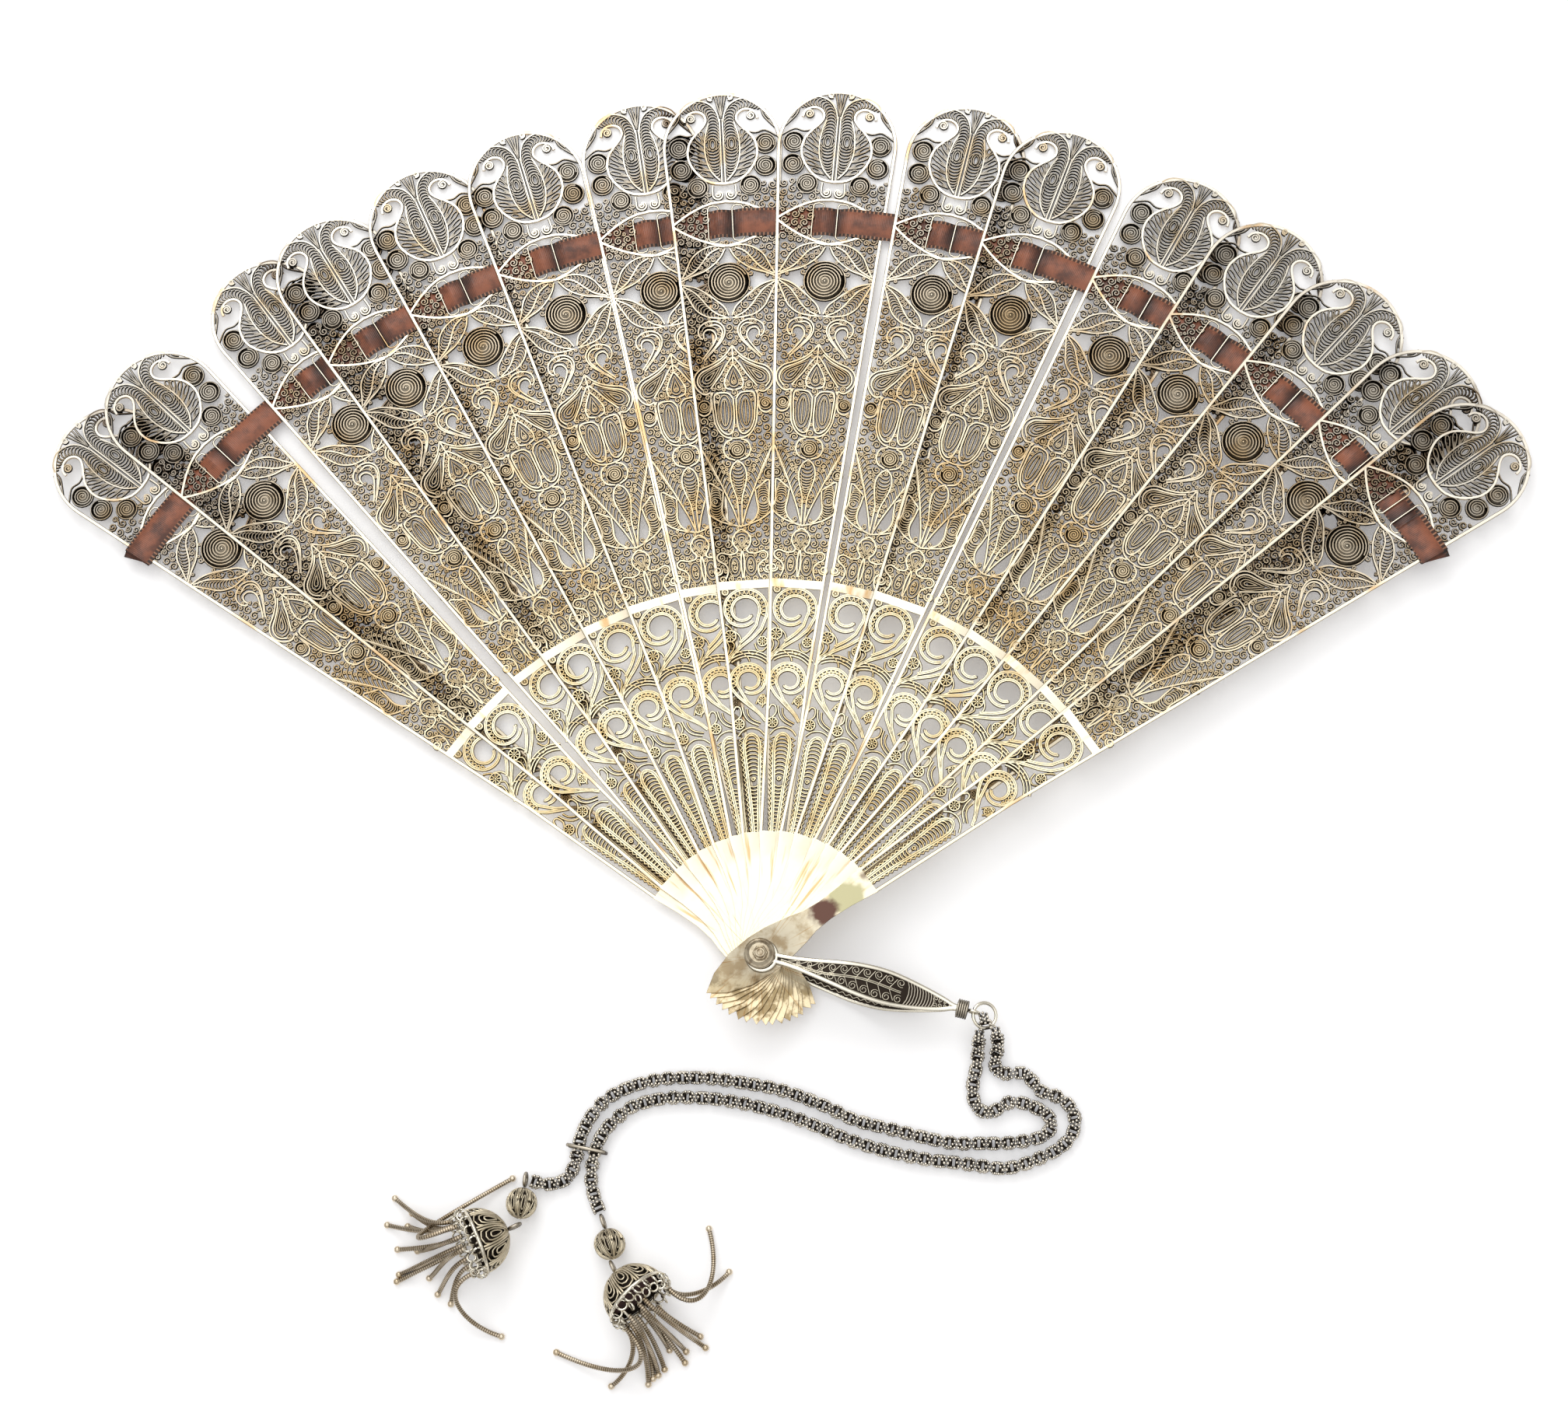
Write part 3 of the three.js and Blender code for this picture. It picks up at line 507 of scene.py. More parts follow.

# %% [markdown]
# Six discs flank the emblem. Each is a spiral of fine wire inside a ring, on a thin dark sheet that
# stands in for the shade in the gaps between its turns, with a granule at the centre.

# %% Discs of coiled wire
DISC_PLACES = [(8.85, 169.3, 2.15), (8.65, 164.4, 2.15), (5.4, 160.3, 2.1)]
for x, y, radius in DISC_PLACES:
    for side in (-1, 1):
        fine.append(ring(side * x, y, radius, 18))
        coils.append(spiral(side * x, y, radius - 0.35, 0.25, 3.1, y, 14, side))
        granule_places.append((side * x, y, 0.3))
        backed.append((side * x, y, radius))
emblem_foot = [
    (2.3, 160.6), (2.4, 159.2), (2.3, 158.1), (1.4, 157.5), (0.55, 157.9), (0.45, 158.8), (1.1, 159.3),
]
middle += mirrored([smooth(emblem_foot, 3)])
middle += mirrored([spiral(1.4, 158.5, 0.62, 0.2, 1.2, 1.6)])
granule_places += [(1.4, 158.5, 0.33), (-1.4, 158.5, 0.33)]
print("discs:", 2 * len(DISC_PLACES))

# %% [markdown]
# Two arches of heavy wire make the lens, and two tall staples stand in it. The ribbon comes up through
# one staple and goes down through the other, so the staples are drawn here and bent with the stick.

# %% The lens and its staples
lens_upper = [(0, 157.0), (3.2, 156.6), (6.4, 155.3), (9.0, 153.7), (10.9, 152.3)]
lens_lower = [(0, 147.3), (3.2, 148.0), (6.4, 149.3), (9.0, 150.8), (10.9, 152.1)]
heavy += mirrored([smooth(lens_upper), smooth(lens_lower)])
STAPLE_X, STAPLE_HALF = 2.5, 1.15


def staple(x):
    """A tall wire loop with round ends, which the ribbon weaves through."""
    top, foot, half, corner = 156.2, 148.3, STAPLE_HALF, 0.8
    line = [(x - half, foot + corner), (x - half, top - corner)]
    line += [(x - half + 0.3, top - 0.2), (x, top), (x + half - 0.3, top - 0.2)]
    line += [(x + half, top - corner), (x + half, foot + corner)]
    line += [(x + half - 0.3, foot + 0.2), (x, foot), (x - half + 0.3, foot + 0.2)]
    return line + [line[0]]


staples = [staple(-STAPLE_X), staple(STAPLE_X)]
print("staples:", len(staples))

# %% [markdown]
# The medallion is one long spiral. A double leaf points away from it in each of four directions: three
# lines each, with scales across the wider half.

# %% The medallion and its four double leaves
fine.append(ring(0, MEDALLION, 4.2, 26))
coils.append(spiral(0, MEDALLION, 3.75, 0.5, 5.4, 0.4, 22))
granule_places.append((0, MEDALLION, 0.4))
backed.append((0, MEDALLION, 4.2))
upper_leaf = [
    [(0.5, 147.1), (3.0, 147.4), (5.4, 146.6), (7.3, 145.0), (8.4, 142.8), (9.5, 140.6)],
    [(1.6, 146.9), (3.6, 145.9), (5.0, 144.2), (6.7, 142.2), (9.2, 140.7)],
    [(0.5, 146.7), (1.4, 145.0), (2.9, 143.4), (5.0, 142.0), (7.5, 141.1), (9.7, 140.1)],
]
lower_leaf = [
    [(0.4, 131.7), (2.6, 131.8), (4.9, 132.3), (6.9, 133.8), (8.2, 136.1), (9.5, 138.8)],
    [(0.9, 131.9), (2.8, 132.8), (4.4, 134.3), (5.6, 135.9), (7.1, 137.6), (9.3, 139.0)],
    [(0.3, 132.2), (1.1, 134.0), (2.5, 135.4), (4.5, 137.1), (6.8, 138.6), (9.6, 139.4)],
]
middle += mirrored([smooth(path) for path in upper_leaf + lower_leaf])
upper_middle = [(2.9, 146.8), (5.3, 145.2), (6.9, 143.2), (8.7, 141.4)]
lower_middle = [(2.2, 132.2), (4.8, 133.4), (6.7, 135.4), (8.6, 138.1)]
fine += mirrored(scales(upper_middle, [0.5, 0.95, 0.8, 0.3], 0.68))
fine += mirrored(scales(lower_middle, [0.4, 0.85, 0.85, 0.35], 0.68))
fine += mirrored([teardrop((8.0, 141.1), (3.6, 144.0), 1.3)])
fine += mirrored([teardrop((8.2, 138.7), (3.6, 135.4), 1.3)])
fine += mirrored([spiral(2.2, 145.5, 0.65, 0.2, 1.5, 2.0)])
fine += mirrored([spiral(1.9, 133.4, 0.6, 0.2, 1.5, 3.0)])
print("leaves drawn")

# %% [markdown]
# Below the leaves come a pair of hooks, a heart-shaped shield filled with drops, and a tulip whose two
# petals are nested ovals. Only the right half is drawn; the left half is its mirror image.

# %% Hooks, shield and tulip
hook_outer = [
    (5.7, 122.9), (3.6, 125.1), (1.9, 127.1), (1.3, 129.0), (2.0, 130.5), (3.6, 131.2), (5.3, 130.9),
    (6.5, 129.8), (6.6, 128.3), (5.8, 127.4),
]
hook_inner = [
    (5.6, 127.6), (5.6, 128.7), (4.9, 129.4), (3.8, 129.2), (3.1, 128.1), (3.4, 126.8), (4.6, 125.0),
    (6.0, 123.2),
]
hook_line = [(5.2, 123.6), (3.3, 125.7), (1.95, 127.8), (1.9, 129.4), (3.0, 130.4), (4.6, 130.2)]
middle += mirrored([smooth(path, 3) for path in (hook_outer, hook_inner, hook_line)])
fine += mirrored([smooth([(6.0, 129.0), (5.5, 129.9), (4.6, 130.15), (3.3, 129.8), (2.5, 128.6)], 3)])
shield = [
    (0, 125.8), (0.9, 124.5), (2.3, 123.1), (4.4, 121.9), (6.6, 121.0), (7.8, 119.6), (7.9, 118.0),
    (7.2, 116.5), (5.9, 115.6), (4.7, 116.0),
]
shield_line = [
    (1.1, 123.6), (2.6, 122.3), (4.6, 121.2), (6.4, 120.3), (7.2, 119.1), (7.2, 117.8), (6.3, 116.6),
]
shield_inner = [(0.2, 123.2), (1.4, 121.6), (2.5, 119.8), (3.6, 118.3), (4.7, 116.8)]
ogee = [(0, 121.8), (0.8, 120.6), (1.5, 119.2), (1.9, 117.8), (1.5, 116.7), (0.3, 116.3)]
middle += mirrored([smooth(path, 3) for path in (shield, shield_line, shield_inner, ogee)])
middle += [[(0, 125.6), (0, 122.0)]]
for tail, head, width in (
    ((1.7, 122.3), (6.6, 117.6), 2.7),
    ((2.7, 121.3), (6.1, 118.1), 1.7),
    ((3.7, 120.4), (5.6, 118.6), 0.75),
):
    fine += mirrored([smooth(teardrop(tail, head, width), 2)])
for top, foot, width in ((120.9, 116.9, 2.0), (119.6, 117.5, 0.95)):
    fine.append(smooth(teardrop((0, top), (0, foot), width), 2))


DISC_PITCH = 0.52


def disc(x, y, radius):
    """A small coiled disc on a thin dark sheet of painted shade, with a granule at its centre."""
    fine.append(ring(x, y, radius, 14))
    hand = 1 if x > 0 else -1
    coils.append(spiral(x, y, radius - 0.28, 0.2, (radius - 0.3) / DISC_PITCH, x + y, 12, hand))
    granule_places.append((x, y, 0.3))
    backed.append((x, y, radius))


side_hook = [(4.3, 116.0), (4.75, 114.7), (4.75, 112.9), (5.2, 111.6), (6.3, 111.1), (7.2, 111.6)]
petal = [
    (0.3, 114.4), (1.1, 115.5), (2.4, 115.8), (3.9, 115.5), (4.1, 113.8), (3.9, 111.6), (3.7, 109.6),
    (2.9, 107.8), (1.7, 106.9), (0.7, 107.5), (0.3, 109.6), (0.25, 112.0), (0.3, 114.4),
]
petal_line = [
    (4.7, 116.0), (4.6, 113.8), (4.4, 111.4), (4.1, 109.2), (3.1, 107.2), (1.7, 106.2), (0, 106.0),
]
middle += mirrored([smooth(path, 3) for path in (side_hook, petal, petal_line)])
fine += mirrored([[(2.1, 108.9), (2.1, 114.2)]])
fine += mirrored(nested_ovals(2.1, 111.6, 1.4, 3.7, 0.62, 16))
for side in (-1, 1):
    disc(side * 6.15, 113.1, 1.25)
    disc(side * 3.0, 117.2, 0.75)
print("shield and tulip drawn")

# %% [markdown]
# A disc, a long drop with a feathered V on both sides, two scaled leaves and a cloud-shaped foot close
# the body. The feathers' barbs start on the V at equal heights, so they come from two loops.

# %% The drop, the side leaves and the cloud
disc(0, 103.6, 1.75)
middle += mirrored([smooth([(0.9, 105.8), (2.1, 105.3), (2.7, 103.8), (2.1, 102.1), (0.5, 101.4)], 3)])
drop = [
    (0, 101.3), (1.1, 100.3), (1.6, 98.7), (1.5, 97.0), (1.05, 95.2), (0.5, 93.2), (0.35, 90.0), (0.3, 87.9),
]
v_line = [(0.2, 87.4), (1.2, 90.8), (2.6, 94.3), (3.9, 97.4), (5.6, 101.0), (7.0, 103.9)]
side_leaf_inner = [(3.2, 95.0), (3.4, 92.8), (3.6, 90.8), (2.9, 89.0), (1.5, 87.9)]
side_leaf_outer = [
    (3.3, 95.1), (4.6, 96.1), (6.0, 96.9), (6.0, 95.2), (5.8, 92.5), (6.2, 90.6), (4.6, 89.1), (2.6, 88.2),
    (0.3, 87.5),
]
middle += mirrored([smooth(path, 3) for path in (drop, v_line, side_leaf_inner, side_leaf_outer)])
fine += scales([(0, 100.4), (0, 97.6), (0, 94.2)], [0.5, 1.25, 1.0, 0.4], 0.62, 0.7)
inner_barb = [(0, 0), (-0.35, 1.0), (-0.9, 1.9), (-1.7, 2.3)]
outer_barb = [(0, 0), (0.75, 0.9), (1.0, 2.2), (0.9, 3.2)]
for barb, first, last in ((inner_barb, 93.0, 102.0), (outer_barb, 96.8, 101.5)):
    for height in np.arange(first, last, 0.95):
        start_x = float(np.interp(height, [y for _, y in v_line], [x for x, _ in v_line]))
        fine += mirrored([smooth([(start_x + x, height + y) for x, y in barb])])
fine += mirrored(scales([(4.75, 92.8), (4.7, 91.0), (4.3, 89.7)], [1.1, 1.1, 0.8], 0.55))
fine += mirrored(scales([(4.75, 93.0), (4.75, 94.6), (4.9, 96.0)], [1.1, 1.0, 0.5], 0.55))
for side in (-1, 1):
    disc(side * 6.1, 98.3, 0.95)
granule_places += [(0, 87.5, 0.5)]
cloud = [
    (0, 86.9), (1.1, 86.2), (1.8, 84.9), (1.55, 83.6), (0.95, 82.7), (1.3, 82.0), (2.7, 81.8), (4.1, 82.2),
    (5.0, 81.6), (4.8, 80.6), (3.8, 80.0), (3.1, 79.2), (3.0, 78.0), (3.5, 76.7),
]
cloud_stem = [(0.1, 82.4), (0.35, 80.0), (0.1, 76.8)]
middle += mirrored([smooth(cloud, 3), spiral(5.0, 78.5, 0.95, 0.25, 1.6, 3.0), smooth(cloud_stem)])
for top, foot, width in ((86.4, 82.9, 2.7), (85.8, 83.3, 1.8), (85.2, 83.8, 0.9)):
    fine.append(smooth(teardrop((0, foot), (0, top), width), 2))
fine += mirrored(nested_ovals(1.6, 79.3, 1.15, 2.1, 0.56, 14))
print("wires so far:", len(heavy), len(middle), len(fine))

# %% [markdown]
# Small curls fill what is left between the shapes, down to the plain band. A bench worker bends them
# one by one and packs them in. Here a grid keeps, for each place, how much room it has to the nearest
# wire: the largest curls that fit are placed first, then smaller ones, until the gaps are full. The
# places that stay open on the real stick are marked first, so no curl lands there.

# %% Open places
open_places = [
    [
        (4.7, MEDALLION + 2.6), (9.2, MEDALLION + 0.4), (9.2, MEDALLION - 0.2), (4.7, MEDALLION - 2.8),
        (4.2, MEDALLION),
    ],
    [(0, 147.3), (1.1, 145.0), (2.4, 143.6), (0, 143.4)],
    [(0, 131.8), (1.0, 134.0), (2.0, 135.2), (0, 135.4)],
    [(5.5, 128.5), (4.8, 129.3), (3.7, 129.0), (3.1, 128.0), (3.5, 126.6), (4.6, 125.4), (5.2, 127.4)],
    [(0.6, 88.4), (2.7, 89.2), (3.3, 91.0), (3.1, 94.6), (2.2, 93.0)],
    [(-4.1, 148.0), (4.1, 148.0), (4.1, 156.6), (-4.1, 156.6)],
    [(2.8, 160.0), (-2.8, 160.0), (-2.8, 156.9), (2.8, 156.9)],
]
open_places += [[(-x, y) for x, y in shape] for shape in open_places[:5]]
print("open places:", len(open_places))

# %% [markdown]
# The grid covers the body of the stick, from the plain band to the lobe. Its room is first the distance
# to the stick's rods, then every wire lowers it nearby. Half the curls turn one way and half the other,
# by chance, from a fixed seed.

# %% Curls in the gaps
GRID = 0.1
CURL_SIZES = (0.95, 0.84, 0.72, 0.6, 0.48, 0.38)
ROOM_REACH = 1.1
WIRE_HALF = 0.06
columns = np.arange(-12.4, 12.4, GRID)
rows = np.arange(76.6, 161.4, GRID)
grid_x, grid_y = np.meshgrid(columns, rows)
to_edge = grid_y * math.sin(HALF_ANGLE) - np.abs(grid_x) * math.cos(HALF_ANGLE)
room = np.clip(to_edge - ROD + 0.12, -1.0, 1.0)
room[grid_y > 158.6 + 0.25 * np.abs(grid_x)] = -1.0


def inside(shape, x, y):
    """Whether each place is inside the shape: it counts the edges that a line to the right crosses."""
    crossed = np.zeros(x.shape, bool)
    for (x0, y0), (x1, y1) in zip(shape, shape[1:] + shape[:1]):
        if y0 != y1:
            crossed ^= ((y0 > y) != (y1 > y)) & (x < (x1 - x0) * (y - y0) / (y1 - y0) + x0)
    return crossed


def take_room(x, y, radius):
    """Lowers the room near a wire or a curl."""
    reach = radius + ROOM_REACH
    left, right = np.searchsorted(columns, (x - reach, x + reach))
    low, high = np.searchsorted(rows, (y - reach, y + reach))
    if left < right and low < high:
        part = (slice(low, high), slice(left, right))
        room[part] = np.minimum(room[part], np.hypot(grid_x[part] - x, grid_y[part] - y) - radius)


for shape in open_places:
    room[inside(shape, grid_x, grid_y)] = -1.0
for path in heavy + middle + fine + coils:
    for (x0, y0), (x1, y1) in zip(path, path[1:]):
        pieces = max(int(math.hypot(x1 - x0, y1 - y0) / 0.3), 1)
        for number in range(pieces):
            share = number / pieces
            take_room(x0 + (x1 - x0) * share, y0 + (y1 - y0) * share, WIRE_HALF)
for x, y, radius in backed:
    take_room(x, y, radius)

chance = np.random.default_rng(11)
curls = []
for size in CURL_SIZES:
    free = np.argwhere(room >= size)
    while len(free):
        row, column = free[np.argmin(room[free[:, 0], free[:, 1]])]
        x, y = columns[column], rows[row]
        take_room(x, y, size)
        hand = 1 if chance.random() < 0.5 else -1
        turns = 1.45 if size > 0.65 else 1.1
        curls.append(spiral(x, y, size - 0.04, 0.14, turns, chance.random() * 6.28, 8, hand))
        free = free[room[free[:, 0], free[:, 1]] >= size]
print("curls:", len(curls))

# %% [markdown]
# The gorge, between the plain band and the plate, is gilded and opener: two large scrolls, one turning
# each way, leaf strokes and granules between them, and a tall arch with a zigzag border.

# %% Scrolls of the gorge
def beside(path, distance):
    """The path moved sideways, to its left for a positive distance."""
    moved = []
    for number, here in enumerate(path):
        before, after = path[max(number - 1, 0)], path[min(number + 1, len(path) - 1)]
        along = Vector((after[0] - before[0], after[1] - before[1])).normalized()
        moved.append((here[0] - along.y * distance, here[1] + along.x * distance))
    return moved


def arc(x, y, radius, first, last, count=18):
    """Part of a circle, between two angles in degrees."""
    turns = np.radians(np.linspace(first, last, count))
    return [(x + radius * math.cos(turn), y + radius * math.sin(turn)) for turn in turns]


def swirl(x, y, stops, count=34):
    """A curl whose radius follows the stops, each (angle in degrees, radius)."""
    angles, radii = zip(*stops)
    line = []
    for angle in np.linspace(angles[0], angles[-1], count):
        share = abs(angle - angles[0])
        radius = float(np.interp(share, [abs(a - angles[0]) for a in angles], radii))
        turn = math.radians(angle)
        line.append((x + radius * math.cos(turn), y + radius * math.sin(turn)))
    return line


def teeth(x, y, low, high, first, last, step):
    """Small U-shaped teeth in the band between two circles."""
    found = []
    for middle_turn in np.arange(first, last, step):
        shape = [(high, -0.42), (low + 0.2, -0.32), (low, 0), (low + 0.2, 0.32), (high, 0.42)]
        places = [(radius, math.radians(middle_turn + share * step)) for radius, share in shape]
        found.append([(x + radius * math.cos(turn), y + radius * math.sin(turn)) for radius, turn in places])
    return found


def rosette(x, y, radius):
    """A small ribbed disc with a granule at its centre."""
    gorge_middle.append(ring(x, y, radius, 14))
    for turn in np.radians(np.arange(0, 360, 45)):
        spoke = Vector((math.cos(turn), math.sin(turn)))
        gorge_fine.append([(x + spoke.x * reach, y + spoke.y * reach) for reach in (0.3, radius)])
    gorge_granules.append((x, y, 0.38))


scroll_lines, gorge_middle, gorge_fine, gorge_granules = [], [], [], []
x, y = 0.05, 70.2
stem = [(-4.1, 58.9), (-2.9, 60.9), (-0.9, 62.7), (1.3, 64.3), (3.1, 66.0)]
upper_outer = smooth(stem, 3) + swirl(x, y, [(-28, 4.5), (150, 4.45), (220, 4.0), (265, 3.4), (300, 2.9)])
inner_stem = [(-1.3, 63.4), (0.7, 65.1), (2.2, 66.9)]
upper_stops = [(-28, 3.0), (180, 2.9), (230, 2.65), (270, 2.2), (312, 1.75)]
upper_inner = smooth(inner_stem, 3) + swirl(x, y, upper_stops)
scroll_lines += [upper_outer, beside(upper_outer, 0.33)]
scroll_lines += [upper_inner, beside(upper_inner, 0.33)]
gorge_fine += teeth(x, y, 3.2, 3.95, -14, 215, 14)
gorge_granules.append((1.2, 68.9, 0.42))
x, y = -0.05, 55.6
stem = [(2.8, 47.3), (1.6, 48.9), (-0.4, 50.7), (-2.3, 52.5)]
lower_stops = [(203, 3.75), (40, 3.7), (-30, 3.3), (-80, 2.7), (-110, 2.3)]
lower_outer = smooth(stem, 3) + swirl(x, y, lower_stops, 28)
inner_stem = [(2.3, 48.2), (0.9, 49.8), (-0.7, 51.6)]
lower_stops = [(205, 2.45), (20, 2.35), (-30, 2.1), (-80, 1.7), (-118, 1.4)]
lower_inner = smooth(inner_stem, 3) + swirl(x, y, lower_stops, 26)
scroll_lines += [lower_outer, beside(lower_outer, -0.32)]
scroll_lines += [lower_inner, beside(lower_inner, -0.32)]
gorge_fine += teeth(x, y, 2.6, 3.25, -15, 195, 16)
gorge_granules.append((-0.7, 54.4, 0.38))
scroll_lines += [beside(arc(x, y, 3.7, 150, 40, 12), -0.85)]
gorge_middle += [arc(x, y, radius, 128, last, 10) for radius, last in ((5.1, 42), (5.7, 40), (6.3, 42))]
gorge_middle += [smooth(leaf, 3) for leaf in (
    [(-2.5, 66.1), (-1.4, 65.0), (-1.2, 63.5), (-2.3, 62.0), (-3.6, 60.6)],
    [(-3.3, 49.6), (-2.8, 50.5), (-2.0, 50.3), (-1.8, 48.9), (-2.6, 47.9)],
    [(-1.5, 50.4), (-1.2, 48.9), (-0.3, 47.5), (1.6, 46.5)],
)]
gorge_fine += [smooth(leaf, 3) for leaf in (
    [(-3.3, 64.1), (-2.5, 63.3), (-2.8, 62.1), (-3.9, 60.8)],
    [(-3.9, 63.9), (-3.5, 62.9), (-3.7, 61.8), (-4.1, 60.9)],
    [(-0.6, 50.0), (-0.4, 48.8), (0.4, 47.8), (2.0, 47.0)],
    [(1.2, 50.9), (1.9, 52.3), (2.8, 52.8), (3.1, 51.6), (2.3, 50.2)],
    [(3.9, 62.4), (3.0, 61.6), (2.0, 62.0), (1.6, 63.3)],
    [(2.0, 61.3), (1.0, 61.0), (0.2, 61.7)],
    [(-1.9, 61.9), (-0.7, 61.2), (0.1, 60.4), (0.4, 59.6)],
    [(4.0, 66.4), (3.3, 65.6), (2.6, 64.6)],
    [(-4.1, 67.5), (-3.4, 67.0), (-2.7, 66.2)],
)]
rosettes = [(-3.2, 65.0, 1.15), (-2.3, 47.0, 1.0), (3.1, 63.6, 0.95), (2.5, 51.6, 0.85), (-3.8, 74.1, 0.6)]
for x, y, radius in rosettes:
    rosette(x, y, radius)
print("scroll wires:", len(scroll_lines) + len(gorge_middle) + len(gorge_fine))

# %% [markdown]
# The arch rises from the plate. Its legs follow a few half widths, a zigzag fills the space between it
# and the rods, and short scales cross its inside.

# %% The arch below the scrolls
ARCH_SIDE = [(25.0, 0.3), (30.0, 0.52), (35.0, 0.85), (39.0, 1.15), (42.0, 1.35), (43.8, 1.1)]


def arch_half(along):
    return float(np.interp(along, [a for a, _ in ARCH_SIDE], [h for _, h in ARCH_SIDE]))


right_side = [(half, along) for along, half in ARCH_SIDE]
arch = smooth(right_side + [(0, 44.7)] + [(-x, y) for x, y in reversed(right_side)], 4)
scroll_lines += [arch, beside(arch, -0.36)]
for side in (-1, 1):
    zigzag = []
    for number, along in enumerate(np.arange(25.2, 44.3, 0.5)):
        edge = along * math.tan(HALF_ANGLE) - ROD - 0.05
        near = arch_half(along) + 0.55
        zigzag.append((side * (edge if number % 2 else near), along))
    gorge_fine += [zigzag]
gorge_middle += [smooth([(-2.6, 44.6), (-1.6, 45.7), (0, 46.2), (1.6, 45.7), (2.6, 44.6)], 3)]
for along in np.arange(36.5, 44.2, 0.75):
    gorge_fine += scales([(0, along), (0, along + 0.1)], [arch_half(along) - 0.05], 1.0, 0.5)
for along in np.arange(25.7, 35.2, 0.75):
    gorge_fine += scales([(0, along), (0, along - 0.1)], [arch_half(along) - 0.05], 1.0, 0.6)
gorge_fine += [spiral(0, 35.8, 0.45, 0.15, 1.3)]
print("gorge wires:", len(scroll_lines) + len(gorge_middle) + len(gorge_fine))

# %% [markdown]
# The frame of a stick is a flat rod, bent from the shoulder up one edge, round the lobe and down the
# other edge. Its section is a rectangle with cut corners that Blender sweeps along the edge. The plate is
# cut from sheet, with the rivet's hole in it: a filled flat curve with a small bevel.

# %% Frame rods, band and plate
SHOULDER, NECK_HALF = 24.6, 2.9
STRAIGHT_FROM = 56
BAND_PLACE, BAND_WIDTH = 75.4, 1.9


def edge_half(along):
    """Half the stick's width at a distance from the rivet."""
    if along >= STRAIGHT_FROM:
        return along * math.tan(HALF_ANGLE)
    share = (along - SHOULDER) / (STRAIGHT_FROM - SHOULDER)
    return NECK_HALF + share * (STRAIGHT_FROM * math.tan(HALF_ANGLE) - NECK_HALF)


inset = ROD / 2
right_edge = [(edge_half(along) - inset, along) for along in (24.8, 35, 45, 56, 80, 110, 140, 160)]
turns = np.linspace(-HALF_ANGLE, math.pi + HALF_ANGLE, 33)
lobe_reach = LOBE_RADIUS - inset
lobe_arc = [(lobe_reach * math.cos(turn), LOBE_CENTRE + lobe_reach * math.sin(turn)) for turn in turns]
rod_path = right_edge + lobe_arc + [(-x, y) for x, y in reversed(right_edge)]
rod_section = outline("rod_section", rounded(ROD, PLATE + 0.02))
rods = bend_wire("rods", [rod_path], ROD, section=rod_section)
band_section = outline("band_section", rounded(BAND_WIDTH, PLATE))
band_half = edge_half(BAND_PLACE) - 0.5
band_path = [(-band_half, BAND_PLACE), (band_half, BAND_PLACE)]
band = bend_wire("band", [band_path], BAND_WIDTH, section=band_section)
remove(rod_section, band_section)

plate_side = [
    (2.25, -9.3), (3.7, -4.8), (4.1, 0.0), (3.9, 3.7), (3.0, 8.5), (2.25, 11.3), (1.95, 15.0), (2.2, 19.8),
    (2.75, 24.2), (2.9, 25.2),
]
PLATE_BEVEL = 0.05
plate_curve = bpy.data.curves.new("plate", "CURVE")
plate_curve.dimensions = "2D"
plate_curve.fill_mode = "BOTH"
plate_curve.extrude = (PLATE / 2 - PLATE_BEVEL) * MM
plate_curve.bevel_depth = PLATE_BEVEL * MM
plate_curve.bevel_resolution = 1
add_spline(plate_curve, [(0, -12.6)] + plate_side + [(-x, y) for x, y in reversed(plate_side)], True)
add_spline(plate_curve, ring(0, 0, 1.14, 20)[:-1], True)
plate = linked("plate", plate_curve)
select_only(plate)
bpy.ops.object.convert(target="MESH")
for piece in (rods, band, plate):
    select_only(piece)
    piece.data.transform(at(0, 0, PLATE / 2))
    bpy.ops.object.shade_smooth_by_angle(angle=math.radians(35))
print("rod faces:", len(rods.data.polygons), "plate faces:", len(plate.data.polygons))

# %% [markdown]
# Materials. Each wire is painted bright on top and dark down its sides: a painted highlight where its top
# faces the light, and painted shade down its flanks, with a little real tarnish there. One node group
# gives that: it compares the surface's own normal with straight up, breaks the edge with fine noise, and
# puts out a mask. A second group gives patchy colour over the whole fan, because gilding wears unevenly.

# %% Node helpers
def add(tree, kind, **values):
    node = tree.nodes.new(kind)
    for name, value in values.items():
        setattr(node, name, value)
    return node


def feed(tree, value, target):
    """Links the value to the input where it is a socket, or else sets the input to it."""
    if hasattr(value, "is_output"):
        tree.links.new(value, target)
    else:
        target.default_value = value


def calculate(tree, operation, *values):
    """A Math node over sockets and numbers."""
    node = add(tree, "ShaderNodeMath", operation=operation)
    for value, target in zip(values, node.inputs):
        feed(tree, value, target)
    return node.outputs[0]


def step_up(tree, value, low, high):
    """A smooth step: 0 at low and 1 at high."""
    node = add(tree, "ShaderNodeMapRange", interpolation_type="SMOOTHSTEP")
    for source, name in ((value, "Value"), (low, "From Min"), (high, "From Max")):
        feed(tree, source, node.inputs[name])
    return node.outputs["Result"]


def object_place(tree):
    """The place on the object, in metres."""
    return add(tree, "ShaderNodeTexCoord").outputs["Object"]


def split(tree, vector):
    node = add(tree, "ShaderNodeSeparateXYZ")
    tree.links.new(vector, node.inputs[0])
    return node.outputs


def from_rivet(tree, place):
    """The place's distance from the rivet, in metres."""
    node = add(tree, "ShaderNodeVectorMath", operation="LENGTH")
    tree.links.new(place, node.inputs[0])
    return node.outputs["Value"]


def noise_at(tree, place, scale, detail=2.0, roughness=0.5):
    node = add(tree, "ShaderNodeTexNoise")
    settings = (("Vector", place), ("Scale", scale), ("Detail", detail), ("Roughness", roughness))
    for name, value in settings:
        feed(tree, value, node.inputs[name])
    return node.outputs["Fac"]


